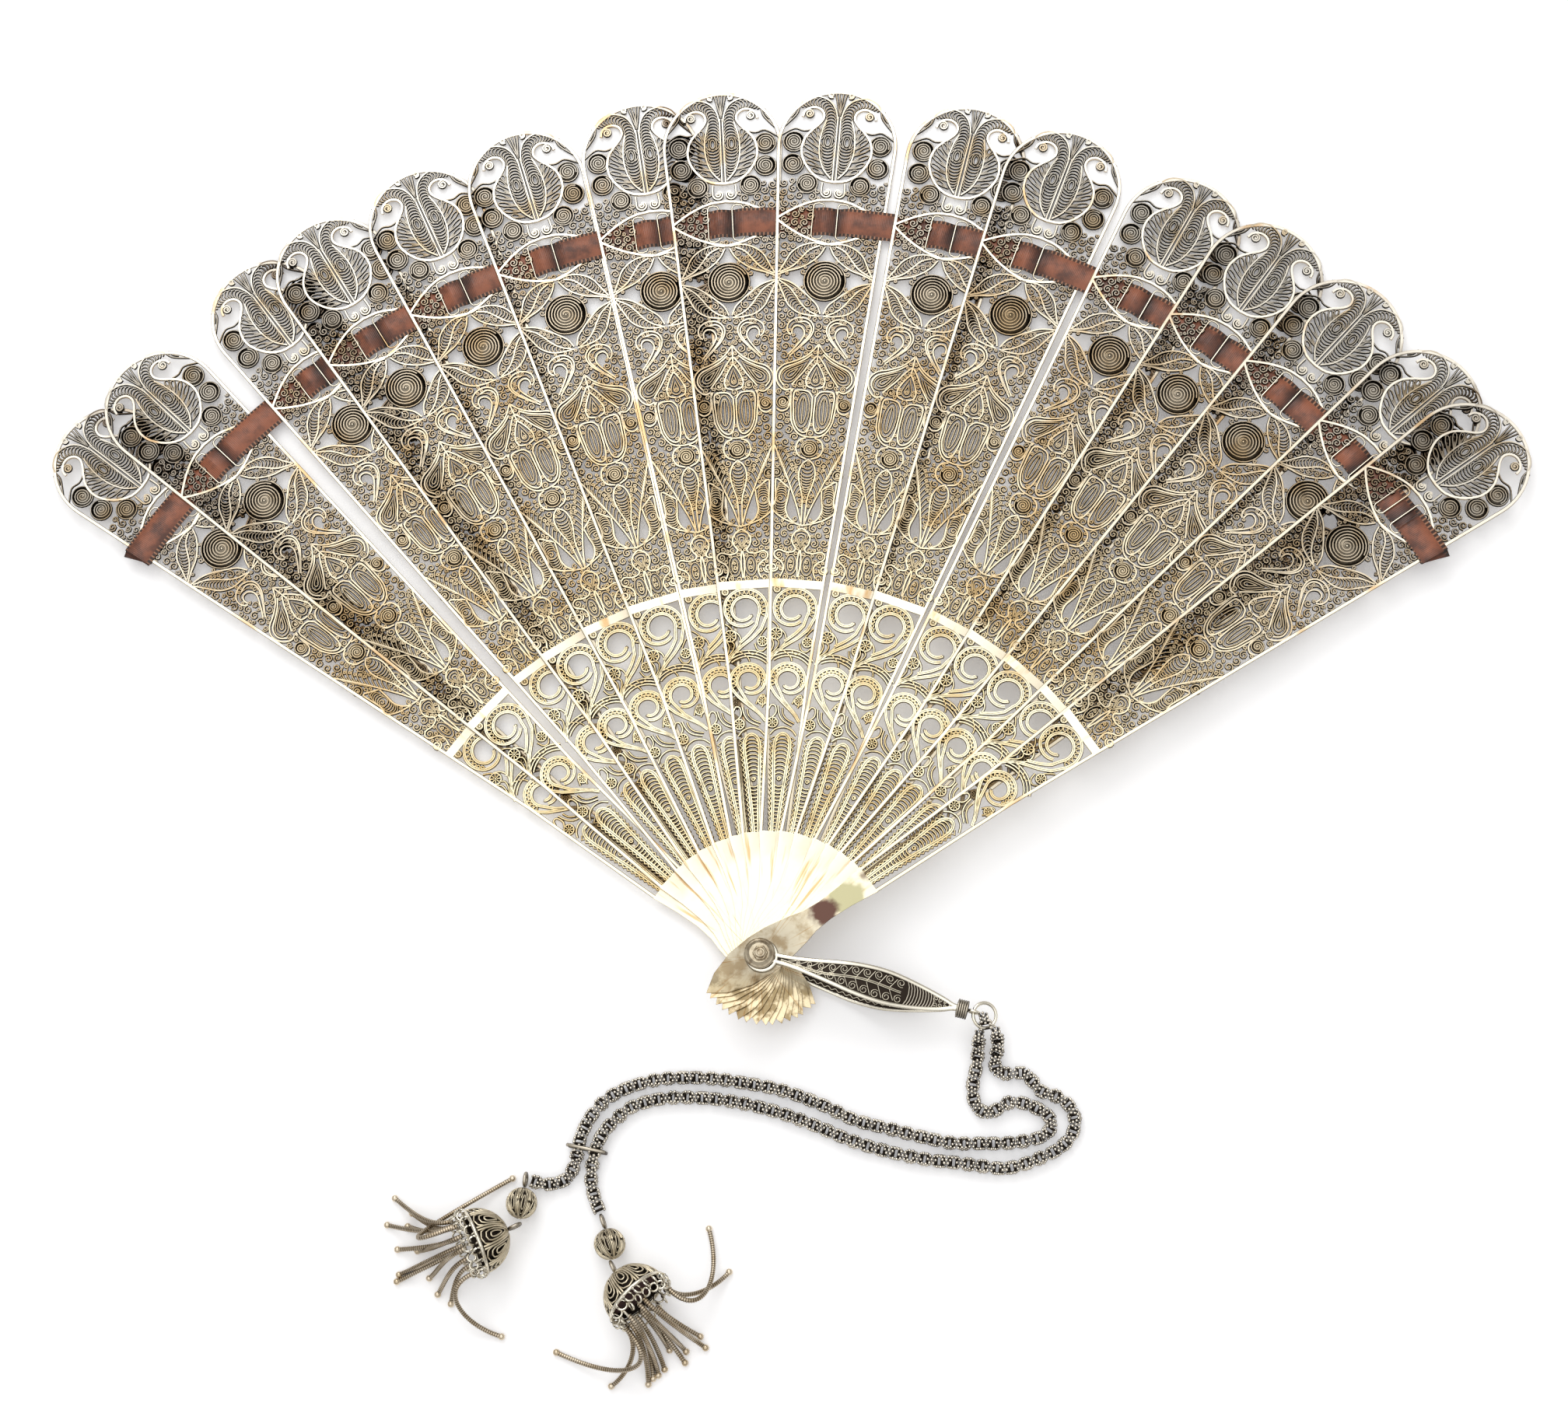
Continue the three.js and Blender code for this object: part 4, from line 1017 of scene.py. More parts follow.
def mix_colour(tree, factor, first, second, blend="MIX"):
    """A Mix node for colours; the factor and both colours are sockets or plain values."""
    mix = add(tree, "ShaderNodeMix", data_type="RGBA", blend_type=blend)
    for value, place in ((factor, 0), (first, 6), (second, 7)):
        feed(tree, value, mix.inputs[place])
    return mix.outputs[2]


def attribute(tree, name):
    return add(tree, "ShaderNodeAttribute", attribute_name=name).outputs["Fac"]


def colour(red, green, blue):
    return (red, green, blue, 1.0)


print("node helpers ready")

# %% [markdown]
# The node groups that the materials share. They put out values only: where a wire gets its painted
# highlight and its painted shade, soft patches of wear, where a place lies on the open fan, and a spot with
# a ragged edge.

# %% Node groups
def new_group(name, inputs, outputs):
    """A node group with its sockets: the group, what comes into it, and what goes out."""
    group = bpy.data.node_groups.new(name, "ShaderNodeTree")
    for label, value in inputs:
        kind = "NodeSocketFloat" if value is not None else "NodeSocketVector"
        made = group.interface.new_socket(name=label, in_out="INPUT", socket_type=kind)
        if value is not None:
            made.default_value = value
    for label in outputs:
        group.interface.new_socket(name=label, in_out="OUTPUT", socket_type="NodeSocketFloat")
    return group, add(group, "NodeGroupInput").outputs, add(group, "NodeGroupOutput").inputs


def wire_light_group():
    """Painted light on a wire: 1 for the highlight on its top, 0 for the shade down its sides."""
    inputs = [("Grain", 2200.0), ("Patches", 420.0), ("Edge", 0.35)]
    group, given, result = new_group("Wire Polish", inputs, ["Polish"])
    coordinates = add(group, "ShaderNodeTexCoord").outputs
    # Painted light: faces turned up take the highlight, the sides the shade, and undersides a little less.
    upward = split(group, coordinates["Normal"])["Z"]
    broken = calculate(group, "MAXIMUM", upward, calculate(group, "MULTIPLY", upward, -0.85))
    for size, share in (("Grain", 0.45), ("Patches", 0.9)):
        noise = noise_at(group, coordinates["Object"], given[size])
        broken = calculate(group, "MULTIPLY_ADD", noise, share, broken)
    group.links.new(step_up(group, broken, given["Edge"], 1.75), result["Polish"])
    return group


def patch_group():
    """Soft patches over the object, from 0 to 1."""
    inputs = [("Scale", 40.0), ("Low", 0.4), ("High", 0.6)]
    group, given, result = new_group("Worn Patches", inputs, ["Patch"])
    noise = noise_at(group, object_place(group), given["Scale"], 4, 0.6)
    group.links.new(step_up(group, noise, given["Low"], given["High"]), result["Patch"])
    return group


def fan_place_group():
    """Where a place lies on the open fan: its distance from the rivet in mm, and its turn in degrees."""
    group, _, result = new_group("Fan Place", [], ["Distance", "Turn"])
    place = object_place(group)
    parts = split(group, place)
    distance = calculate(group, "MULTIPLY", from_rivet(group, place), 1 / MM)
    turn = calculate(group, "MULTIPLY", calculate(group, "ARCTAN2", parts["X"], parts["Y"]), math.degrees(1))
    group.links.new(distance, result["Distance"])
    group.links.new(turn, result["Turn"])
    return group


def spot_group():
    """A spot with a ragged edge: 1 inside it, 0 outside."""
    group, given, result = new_group("Ragged Spot", [("Centre", None), ("Radius", 0.003)], ["Spot"])
    place = object_place(group)
    away = add(group, "ShaderNodeVectorMath", operation="DISTANCE")
    group.links.new(place, away.inputs[0])
    group.links.new(given["Centre"], away.inputs[1])
    ragged = calculate(group, "MULTIPLY_ADD", noise_at(group, place, 380, 6), 0.004, away.outputs["Value"])
    beyond = calculate(group, "SUBTRACT", given["Radius"], ragged)
    group.links.new(step_up(group, beyond, -0.0028, -0.0012), result["Spot"])
    return group


wire_lit_top = wire_light_group()
worn_patches = patch_group()
fan_place = fan_place_group()
ragged_spot = spot_group()


def use_group(tree, group, **values):
    """The group as a node with those values; its outputs."""
    node = add(tree, "ShaderNodeGroup", node_tree=group)
    for name, value in values.items():
        node.inputs[name].default_value = value
    return node.outputs


def metal(name, roughness, metallic=1.0):
    """A new metal material, its tree and its shader's inputs."""
    material = bpy.data.materials.new(name)
    material.use_nodes = True
    inputs = material.node_tree.nodes["Principled BSDF"].inputs
    inputs["Metallic"].default_value = metallic
    inputs["Roughness"].default_value = roughness
    return material, material.node_tree, inputs


def add_bump(tree, shader, height, distance, strength=0.5):
    bump = add(tree, "ShaderNodeBump")
    bump.inputs["Distance"].default_value = distance
    bump.inputs["Strength"].default_value = strength
    tree.links.new(height, bump.inputs["Height"])
    tree.links.new(bump.outputs["Normal"], shader["Normal"])


def patchy(tree, scale, low, high, first, second, blend="MIX"):
    """The first colour, with the second one in worn patches."""
    patches = use_group(tree, worn_patches, Scale=scale, Low=low, High=high)
    return mix_colour(tree, patches["Patch"], first, second, blend)


print("node groups:", [group.name for group in (wire_lit_top, worn_patches, fan_place, ragged_spot)])

# %% [markdown]
# The colour of a stick changes along it: the plate and the gorge kept their gilding, the long body has
# browned, and the lobes have worn to grey silver. The distance from the rivet drives a colour ramp, and
# both the bright and the dark colour of the wire follow it.

# %% Filigree material
RAMP_REACH = 200.0
GUARD_TOP = 12.5


def along_fan(tree, stops, blur=0.004):
    """A colour ramp along the distance from the rivet. Stops are (millimetres, colour)."""
    place = object_place(tree)
    shifted = calculate(tree, "MULTIPLY_ADD", noise_at(tree, place, 90), blur, from_rivet(tree, place))
    ramp = add(tree, "ShaderNodeValToRGB")
    elements = ramp.color_ramp.elements
    while len(elements) < len(stops):
        elements.new(0.5)
    for element, (distance, value) in zip(elements, stops):
        element.position = distance / RAMP_REACH
        element.color = value
    tree.links.new(calculate(tree, "DIVIDE", shifted, RAMP_REACH * MM), ramp.inputs["Fac"])
    return ramp.outputs["Color"]


def in_shade(tree, clean, share):
    """The colour darkened by a share, as painted shadow, where the next stick covers this one."""
    amount = calculate(tree, "MULTIPLY", attribute(tree, "covered"), share)
    return mix_colour(tree, amount, clean, colour(0.12, 0.075, 0.045), "MULTIPLY")


# The colours of the painted shade down each wire's flanks, by distance from the rivet.
SHADED_SIDE_STOPS = [
    (24, colour(0.12, 0.075, 0.032)), (72, colour(0.075, 0.043, 0.017)),
    (84, colour(0.032, 0.02, 0.011)), (165, colour(0.02, 0.016, 0.012)),
]
OUTLINE_STOPS = [
    (24, colour(1.0, 0.92, 0.64)), (72, colour(1.0, 0.92, 0.66)), (82, colour(0.9, 0.78, 0.54)),
    (120, colour(0.8, 0.69, 0.5)), (150, colour(0.72, 0.65, 0.52)), (170, colour(0.62, 0.58, 0.5)),
]
FINE_STOPS = [
    (24, colour(1.0, 0.87, 0.53)), (72, colour(0.94, 0.8, 0.47)), (82, colour(0.66, 0.54, 0.34)),
    (120, colour(0.54, 0.44, 0.29)), (150, colour(0.42, 0.36, 0.28)), (170, colour(0.36, 0.33, 0.28)),
]


def filigree_material(name, stops, edge):
    material, tree, shader = metal(name, 0.28)
    bright = patchy(tree, 110.0, 0.45, 0.66, along_fan(tree, stops), colour(0.8, 0.68, 0.52), "MULTIPLY")
    # Painted light: the ramp's colours go on the lit tops, and the painted shade colours down the flanks.
    lit_top = use_group(tree, wire_lit_top, Grain=2600.0, Patches=380.0, Edge=edge)
    final = mix_colour(tree, lit_top["Polish"], along_fan(tree, SHADED_SIDE_STOPS), bright)
    tree.links.new(in_shade(tree, final, 0.85), shader["Base Color"])
    return material


def reflection_lines(tree, place):
    """Brown reflection lines painted along the sticks: 1 in a line, 0 beside it."""
    along = add(tree, "ShaderNodeCombineXYZ")
    tree.links.new(place["Turn"], along.inputs["X"])
    tree.links.new(calculate(tree, "MULTIPLY", place["Distance"], 0.22), along.inputs["Y"])
    return step_up(tree, noise_at(tree, along.outputs[0], 0.34, 3), 0.56, 0.7)


def frame_material(name, stops, spots=()):
    """The flat rods, the band and the plates: pale gold, cleanly worn, with painted brown reflection lines
    and spots.
    """
    material, tree, shader = metal(name, 0.28)
    base = along_fan(tree, stops, 0.002)
    place = use_group(tree, fan_place)
    streaked = mix_colour(tree, reflection_lines(tree, place), base, colour(0.76, 0.56, 0.36), "MULTIPLY")
    # Below the rivet, the feet turn darker and mottled.
    foot = step_up(tree, split(tree, object_place(tree))["Y"], -0.001, -0.006)
    foot_mottle = patchy(tree, 340.0, 0.42, 0.58, colour(0.85, 0.79, 0.68), colour(0.36, 0.3, 0.21))
    streaked = mix_colour(tree, foot, streaked, foot_mottle, "MULTIPLY")
    # Painted light: rod tops take the highlight, and their sides a painted brown shade.
    lit_top = use_group(tree, wire_lit_top, Grain=700.0, Patches=200.0, Edge=0.2)
    final = mix_colour(tree, lit_top["Polish"], colour(0.3, 0.2, 0.1), streaked)
    if spots:
        # Darker mottled patches on the guard near the rivet, fading out at 26 mm.
        root_patch = use_group(tree, worn_patches, Scale=240.0, Low=0.42, High=0.62)
        root_patched = calculate(tree, "MULTIPLY", root_patch["Patch"], step_up(tree, place["Distance"], 26.0, 12.0))
        final = mix_colour(tree, root_patched, final, colour(0.62, 0.53, 0.42), "MULTIPLY")
    for (x, y, radius), tone in spots:
        centre = (x * MM, y * MM, GUARD_TOP * MM)
        spot = use_group(tree, ragged_spot, Centre=centre, Radius=radius * MM)
        final = mix_colour(tree, spot["Spot"], final, tone)
    tree.links.new(in_shade(tree, final, 0.45), shader["Base Color"])
    add_bump(tree, shader, noise_at(tree, object_place(tree), 900), 0.00004)
    return material


FRAME_STOPS = [
    (10, colour(1.0, 0.91, 0.7)), (80, colour(1.0, 0.92, 0.72)),
    (150, colour(0.95, 0.88, 0.72)), (176, colour(0.78, 0.73, 0.63)),
]
# The front guard's plate is darker towards the rivet.
GUARD_STOPS = [
    (1, colour(0.15, 0.125, 0.09)), (5, colour(0.2, 0.175, 0.135)), (9, colour(0.29, 0.255, 0.2)),
    (13, colour(0.4, 0.355, 0.27)), (19, colour(0.76, 0.69, 0.52)), (25, colour(0.97, 0.89, 0.67)),
    (80, colour(1.0, 0.92, 0.72)), (150, colour(0.95, 0.88, 0.72)), (176, colour(0.78, 0.73, 0.63)),
]
guard_spots = [
    ((17.0, 11.6, 3.6), colour(0.5, 0.47, 0.28)), ((12.4, 8.4, 2.7), colour(0.13, 0.07, 0.055)),
    ((20.4, 15.6, 1.5), colour(0.18, 0.12, 0.08)),
]
# Colours of the dark sheets that stand in for shade under the discs.
SHADE_SHEET_STOPS = [
    (24, colour(0.45, 0.35, 0.18)), (84, colour(0.22, 0.175, 0.11)), (170, colour(0.18, 0.16, 0.13)),
]
outline_silver = filigree_material("filigree_outline", OUTLINE_STOPS, 0.9)
fine_silver = filigree_material("filigree_fine", FINE_STOPS, 1.1)
shade_sheet_silver = filigree_material("filigree_shade_sheet", SHADE_SHEET_STOPS, 1.0)
gilt_frame = frame_material("gilt_frame", FRAME_STOPS)
guard_frame = frame_material("guard_frame", GUARD_STOPS, guard_spots)
print("materials:", outline_silver.name, fine_silver.name, gilt_frame.name, guard_frame.name)

# %% [markdown]
# Now the wires are bent, the granules set, and everything of one stick is joined into one piece, as it
# is soldered on the bench. That one stick is copied to the sixteen places, each copy with its own mesh,
# turned about the rivet and lifted to its level.

# %% Build one stick
wirework = [
    lay_wire("heavy", heavy, 0.4, 0.64, PLATE + 0.08),
    lay_wire("middle", middle, 0.28, 0.56, PLATE + 0.06),
    lay_wire("scrolls", scroll_lines, 0.25, 0.5),
    lay_wire("gorge_middle", gorge_middle, 0.2, 0.56),
]
finework = [
    lay_wire("fine", fine, 0.17, 0.46),
    lay_wire("coils", coils, 0.22, 0.46),
    lay_wire("curls", curls, 0.21, 0.52),
    lay_wire("gorge_fine", gorge_fine, 0.16, 0.52),
]
staple_wire = bend_wire("staples", staples, 0.42, 0.34, PLATE / 2 + 0.03)
GRANULE_TALLEST = 0.28
# Thin dark sheets under the discs: painted shade in the gaps between the coils' turns.
bpy.ops.mesh.primitive_cylinder_add(vertices=18, radius=MM, depth=0.1 * MM)
disc_seed = bpy.context.object
places = [at(x, y, PLATE / 2) @ Matrix.Diagonal((size, size, 1, 1)) for x, y, size in backed]
disc_shade_sheets = copies("disc_shade_sheets", disc_seed, places)
granule_seed = ball(1.0)
places = []
for x, y, size in granule_places + gorge_granules:
    places.append(at(x, y, PLATE / 2) @ Matrix.Diagonal((size, size, min(size, GRANULE_TALLEST), 1)))
granules = copies("granules", granule_seed, places)
remove(disc_seed, granule_seed)
for piece in wirework[1:] + [granules]:
    dress(piece, outline_silver)
dress(wirework[0], gilt_frame)
dress(disc_shade_sheets, shade_sheet_silver)
for piece in finework:
    dress(piece, fine_silver)
for piece in (rods, band, plate, staple_wire):
    dress(piece, gilt_frame)
stick_model = join("stick_model", wirework + finework + [granules, disc_shade_sheets, rods, band, plate, staple_wire])
print("faces of one stick:", len(stick_model.data.polygons))

# %% [markdown]
# Where the next stick lies over this one, its edge would throw a close shadow, and that shadow is painted:
# each vertex is marked by how far it lies under a neighbour, and the materials darken there. Where a stick
# lies over the one before, it darkens less, as painted shade for the shaded layer seen through it.

# %% Set the sixteen sticks
PLATE_END, BAND_END = 24, 78


def mark_covered(mesh, gap_before, gap):
    """Marks, for painted shadow, what lies under the next stick's edge, and half as much what lies over the
    stick before.
    """
    spots = vertex_places(mesh)
    off_line = np.degrees(np.arctan2(spots[:, 0], spots[:, 1]))
    half_turn = math.degrees(HALF_ANGLE)
    under = np.clip((off_line - gap + half_turn) * 2.5, 0, 1)
    over = np.clip((-off_line - gap_before + half_turn) * 2.5, 0, 1) * (spots[:, 1] > BAND_END * MM) * 0.42
    mark(mesh, "covered", np.maximum(under, over) * (spots[:, 1] > PLATE_END * MM))


sticks = []
gaps = [60] + [after - before for before, after in zip(STICK_ANGLES, STICK_ANGLES[1:])] + [60]
for level, (name, angle) in enumerate(zip(stick_names, STICK_ANGLES)):
    stick = linked(name + "_filigree", stick_model.data.copy())
    mark_covered(stick.data, gaps[level], gaps[level + 1])
    if level == len(STICK_ANGLES) - 1:
        slots = [material.name for material in stick.data.materials]
        stick.data.materials[slots.index("gilt_frame")] = guard_frame
    turn = Matrix.Rotation(-math.radians(angle), 4, "Z")
    set_in(stick, stack_frame @ at(0, 0, level * STICK_LEVEL) @ turn)
    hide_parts(name)
    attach(stick, name)
    sticks.append(stick)
remove(stick_model)
print("sticks:", len(sticks))

# %% [markdown]
# The ribbon. Six millimetres of brown satin is wrapped round the back guard's edge, runs over each
# stick's right half, slips under the next stick and comes up through its two staples. One stretch is
# made for each gap.

# %% Ribbon stretches
RIBBON_WIDTH, RIBBON_THICKNESS = 6.0, 0.12
RUN_PER_DEGREE = LENS_RADIUS * math.radians(1)
LANE = PLATE + (STICK_LEVEL - PLATE) / 2
LEGS = [sign * STAPLE_X + side * STAPLE_HALF for sign in (-1, 1) for side in (-1, 1)]


def ribbon_places(level):
    """Where the stretch runs: (stick number, distance across that stick, height over its underside)."""
    edge = LENS_RADIUS * math.tan(HALF_ANGLE) + 0.36
    last = len(STICK_ANGLES) - 1
    low = LANE - STICK_LEVEL
    under = -0.1 if level == last else -0.08
    if level == 0:
        places = [(0, 2.2 - edge, -0.15), (0, 0.4 - edge, -0.15), (0, -edge, 0.0), (0, -edge, 0.4)]
        places += [(0, 0.4 - edge, LANE), (0, 0, LANE)]
    else:
        places = [(level, LEGS[2] - 0.3, under), (level, LEGS[2] + 0.3, under + 0.02)]
        places += [(level, LEGS[3] - 0.5, 0.5), (level, LEGS[3] + 0.3, LANE)]
    if level == last:
        places += [(level, edge - 0.4, LANE), (level, edge, 0.4), (level, edge, 0.0)]
        return places + [(level, edge - 0.4, -0.15), (level, edge - 2.2, -0.15)]
    following = level + 1
    under = -0.1 if following == last else -0.08
    places += [(level, 6.0, LANE), (following, -5.4, low), (following, LEGS[0] + 0.3, low)]
    if following < last:
        places += [(following, LEGS[1] - 0.35, 0.48), (following, LEGS[1] + 0.35, 0.52)]
    places.append((following, 0.0, 0.3 if following < last else low))
    return places + [(following, LEGS[2] - 0.3, under), (following, LEGS[2] + 0.3, under + 0.02)]


def wave(tree, turn, width):
    """A wave from -1 to 1 across the ribbon's run, one for each width in mm."""
    return calculate(tree, "SINE", calculate(tree, "MULTIPLY", turn, math.tau * RUN_PER_DEGREE / width))


def ribbon_material():
    """Satin: cross ribs, a stitched edge on both sides, and painted shade where it dives through a staple.
    """
    material, tree, shader = metal("brown_satin", 0.36, 0.0)
    place = use_group(tree, fan_place)
    tone = patchy(tree, 260.0, 0.35, 0.7, colour(0.29, 0.088, 0.038), colour(0.08, 0.023, 0.01))
    away = calculate(tree, "ABSOLUTE", calculate(tree, "SUBTRACT", place["Distance"], LENS_RADIUS + 0.2))
    edge = calculate(tree, "GREATER_THAN", away, RIBBON_WIDTH * 0.4)
    stitches = wave(tree, place["Turn"], 0.85)
    stitched = mix_colour(tree, stitches, colour(0.05, 0.02, 0.012), colour(0.42, 0.2, 0.11))
    tone = mix_colour(tree, edge, tone, stitched)
    # Painted shade at both ends, where the ribbon dives through a staple.
    tone = mix_colour(tree, attribute(tree, "dive"), tone, colour(0.12, 0.08, 0.07), "MULTIPLY")
    tree.links.new(tone, shader["Base Color"])
    add_bump(tree, shader, wave(tree, place["Turn"], 0.34), 0.00003)
    shader["Sheen Weight"].default_value = 0.15
    return material


def mark_dives(mesh):
    """Marks both ends of a stretch, where it goes down through a staple, for painted shade there."""
    spots = vertex_places(mesh)
    run = np.arctan2(spots[:, 0], spots[:, 1]) * LENS_RADIUS
    to_end = np.minimum(run - run.min(), run.max() - run)
    mark(mesh, "dive", np.clip(1.1 - to_end / 2.6, 0, 1))


def on_fan(number, across):
    """The turn, in radians, of a place that far across a stick."""
    return math.radians(STICK_ANGLES[number]) + across / LENS_RADIUS


brown_satin = ribbon_material()
ribbon_section = outline("ribbon_section", rounded(RIBBON_WIDTH, RIBBON_THICKNESS))
stretches = []
for level in range(len(STICK_ANGLES)):
    flat = []
    for number, across, height in ribbon_places(level):
        flat.append((on_fan(number, across) * LENS_RADIUS, height + number * STICK_LEVEL))
    line = []
    for run, height in smooth(flat, 6):
        turn = run / LENS_RADIUS
        line.append((LENS_RADIUS * math.sin(turn), LENS_RADIUS * math.cos(turn), height))
    stretch = bend_wire(f"ribbon_{level + 1:02d}_satin", [line], RIBBON_WIDTH, section=ribbon_section)
    mark_dives(stretch.data)
    set_in(stretch, stack_frame)
    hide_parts(f"ribbon_{level + 1:02d}")
    dress(stretch, brown_satin)
    if level < len(STICK_ANGLES) - 1:
        ends = []
        for number, across in ((level, 4.2), (level + 1, -5.0)):
            turn = on_fan(number, across)
            place = (LENS_RADIUS * math.sin(turn), LENS_RADIUS * math.cos(turn), level * STICK_LEVEL)
            ends.append(tuple(stack_frame @ (Vector(place) * MM)))
        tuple(ends[0])
        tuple(ends[1])
        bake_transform(stretch)
    else:
        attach(stretch, stick_names[level])
    stretches.append(stretch)
remove(ribbon_section)
print("ribbon stretches:", len(stretches))

# %% [markdown]
# Turned parts are drawn as half a profile and spun about their axis with a Screw modifier: the rivet's
# foot and pin, the domed washer, the burr and the collar.

# %% Rivet
def lathe(name, profile, steps=40):
    """A turned piece from (radius, height) places in mm, spun about Z."""
    mesh = bpy.data.meshes.new(name)
    edges = [(number, number + 1) for number in range(len(profile) - 1)]
    mesh.from_pydata([(radius * MM, 0, height * MM) for radius, height in profile], edges, [])
    piece = linked(name, mesh)
    screw = piece.modifiers.new("Screw", "SCREW")
    screw.steps = steps
    screw.use_merge_vertices = True
    screw.merge_threshold = 1e-6
    select_only(piece)
    bpy.ops.object.modifier_apply(modifier="Screw")
    bpy.ops.object.mode_set(mode="EDIT")
    bpy.ops.mesh.select_all(action="SELECT")
    bpy.ops.mesh.normals_make_consistent(inside=False)
    bpy.ops.object.mode_set(mode="OBJECT")
    bpy.ops.object.shade_smooth_by_angle(angle=math.radians(40))
    return piece


EYE_TOP = STACK_HEIGHT + 0.2 + 0.45
WASHER_BASE = EYE_TOP + 0.2
BURR_BASE = WASHER_BASE + 0.9 + 0.2
PIN_TOP = BURR_BASE + 0.6 + 0.35
rivet_pin = lathe(
    "rivet_pin_turned",
    [
        (0, -STACK_BASE), (2.5, -STACK_BASE), (2.6, -STACK_BASE + 0.15), (2.6, -STACK_BASE + 0.5),
        (2.1, -STACK_BASE + 0.8), (1.0, -STACK_BASE + 0.8), (1.0, PIN_TOP - 0.2), (0.85, PIN_TOP - 0.03),
        (0.6, PIN_TOP), (0.5, PIN_TOP - 0.12), (0, PIN_TOP - 0.1),
    ],
)
domed_washer = lathe(
    "domed_washer_turned",
    [
        (1.08, WASHER_BASE), (2.9, WASHER_BASE), (3.0, WASHER_BASE + 0.08), (2.9, WASHER_BASE + 0.25),
        (2.6, WASHER_BASE + 0.42), (2.45, WASHER_BASE + 0.46), (2.3, WASHER_BASE + 0.64),
        (2.0, WASHER_BASE + 0.76), (1.9, WASHER_BASE + 0.88), (1.2, WASHER_BASE + 0.9),
        (1.08, WASHER_BASE + 0.88), (1.08, WASHER_BASE),
    ],
)
burr = lathe(
    "rivet_burr_turned",
    [
        (1.08, BURR_BASE), (1.42, BURR_BASE), (1.5, BURR_BASE + 0.1), (1.48, BURR_BASE + 0.42),
        (1.3, BURR_BASE + 0.6), (1.08, BURR_BASE + 0.55), (1.08, BURR_BASE),
    ],
    6,
)


worn_gilt, tree, shader = metal("worn_gilt", 0.36)
tone = patchy(tree, 600.0, 0.4, 0.65, colour(0.62, 0.54, 0.40), colour(0.30, 0.23, 0.15))
tree.links.new(tone, shader["Base Color"])
domed_washer.data.transform(at(-0.2, 0.15))
for piece, node in ((rivet_pin, "rivet_pin"), (domed_washer, "domed_washer"), (burr, "rivet_burr")):
    set_in(piece, stack_frame)
    dress(piece, worn_gilt)
    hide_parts(node)
    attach(piece, "back_guard")
print("rivet height:", round(PIN_TOP + STACK_BASE, 2), "mm")

# %% [markdown]
# The bail is two leaf-shaped arms, one over the fan and one under it, that come together in a ribbed
# collar. Each arm is drawn flat: two bright side wires, a thin dark floor that stands in for the shade
# inside the arm, a twisted vein with curls on both sides, and a small fan of ribs. It is then bent to its
# height, which falls from the eye to the collar.

# %% Bail arms
BAIL_FLAT, BAIL_LENGTH, BAIL_MIDDLE, COLLAR = 14.5, 40.4, STACK_HEIGHT / 2, 2.2
bail_frame = stack_frame @ Matrix.Rotation(-math.radians(104.5), 4, "Z")
BAIL_EDGE = [
    (1.9, 0.85), (7.25, 1.2), (14.5, 2.35), (18.6, 3.0), (23.0, 3.3), (26.7, 3.1), (31.5, 2.3), (35.6, 1.3),
    (37.8, 0.55), (40.1, 0.5),
]


def bail_half(along):
    return float(np.interp(along, [a for a, _ in BAIL_EDGE], [h for _, h in BAIL_EDGE]))


def bend_to_arm(piece, eye_height, tip_height):
    """Raises each vertex to the arm's height at its distance from the rivet."""
    corner = vertex_places(piece.data)
    bend_length = BAIL_LENGTH - COLLAR - 1 - BAIL_FLAT
    share = np.clip((corner[:, 1] / MM - BAIL_FLAT) / bend_length, 0, 1)
    corner[:, 2] += (eye_height + (tip_height - eye_height) * share**2 * (3 - 2 * share)) * MM
    piece.data.vertices.foreach_set("co", corner.ravel())
    piece.data.update()


# A material painted bright on top and dark down the sides: painted highlight and painted shade, with some of
# the metal's own oxide in the dark.
def lit_top_material(name, bright, dark, roughness=0.38, edge=0.6):
    material, tree, shader = metal(name, roughness)
    lit_top = use_group(tree, wire_lit_top, Grain=3000.0, Edge=edge)
    tree.links.new(mix_colour(tree, lit_top["Polish"], dark, bright), shader["Base Color"])
    return material


dark_silver = lit_top_material("dark_silver", colour(0.60, 0.54, 0.44), colour(0.09, 0.075, 0.06))
bright_silver = lit_top_material(
    "bright_silver", colour(0.92, 0.87, 0.74), colour(0.3, 0.24, 0.15), 0.26, 0.2
)
# Near black for hollows: partly the silver's own oxide, partly painted shade where light does not reach.
oxide_and_shade_black = lit_top_material(
    "oxide_and_shade_black", colour(0.042, 0.032, 0.025), colour(0.014, 0.011, 0.009), 0.5
)
pale_wire = lit_top_material("pale_wire", colour(0.85, 0.78, 0.62), colour(0.12, 0.09, 0.06), 0.3, 0.75)

edge_line = smooth([(half - 0.3, along) for along, half in BAIL_EDGE], 4)
arm_edges = mirrored([edge_line])
vein = smooth([(0.0, 4.0), (0.5, 12.0), (-0.4, 20.0), (0.0, 27.5)], 6)
arm_curls, arm_ribs = [], []
for number in range(10):
    along = 7.4 + number * 2.2
    half = bail_half(along)
    size = min(0.36 * half, 0.85)
    for side in (-1, 1):
        x = side * (half - size - 0.6)
        arm_curls.append(spiral(x, along, size, size * 0.3, 1.4, math.pi / 2 + side, 12, side))
        stem = [(0.1 * side, along - 2.0), (x * 0.6, along - 1.5), (x + side * size * 0.6, along - size)]
        arm_curls.append(smooth(stem))
scallop = [(bail_half(y) - 0.95 + 0.22 * math.sin(y * 4.2), y) for y in np.arange(6, 33, 0.3)]
scallops = mirrored([scallop])
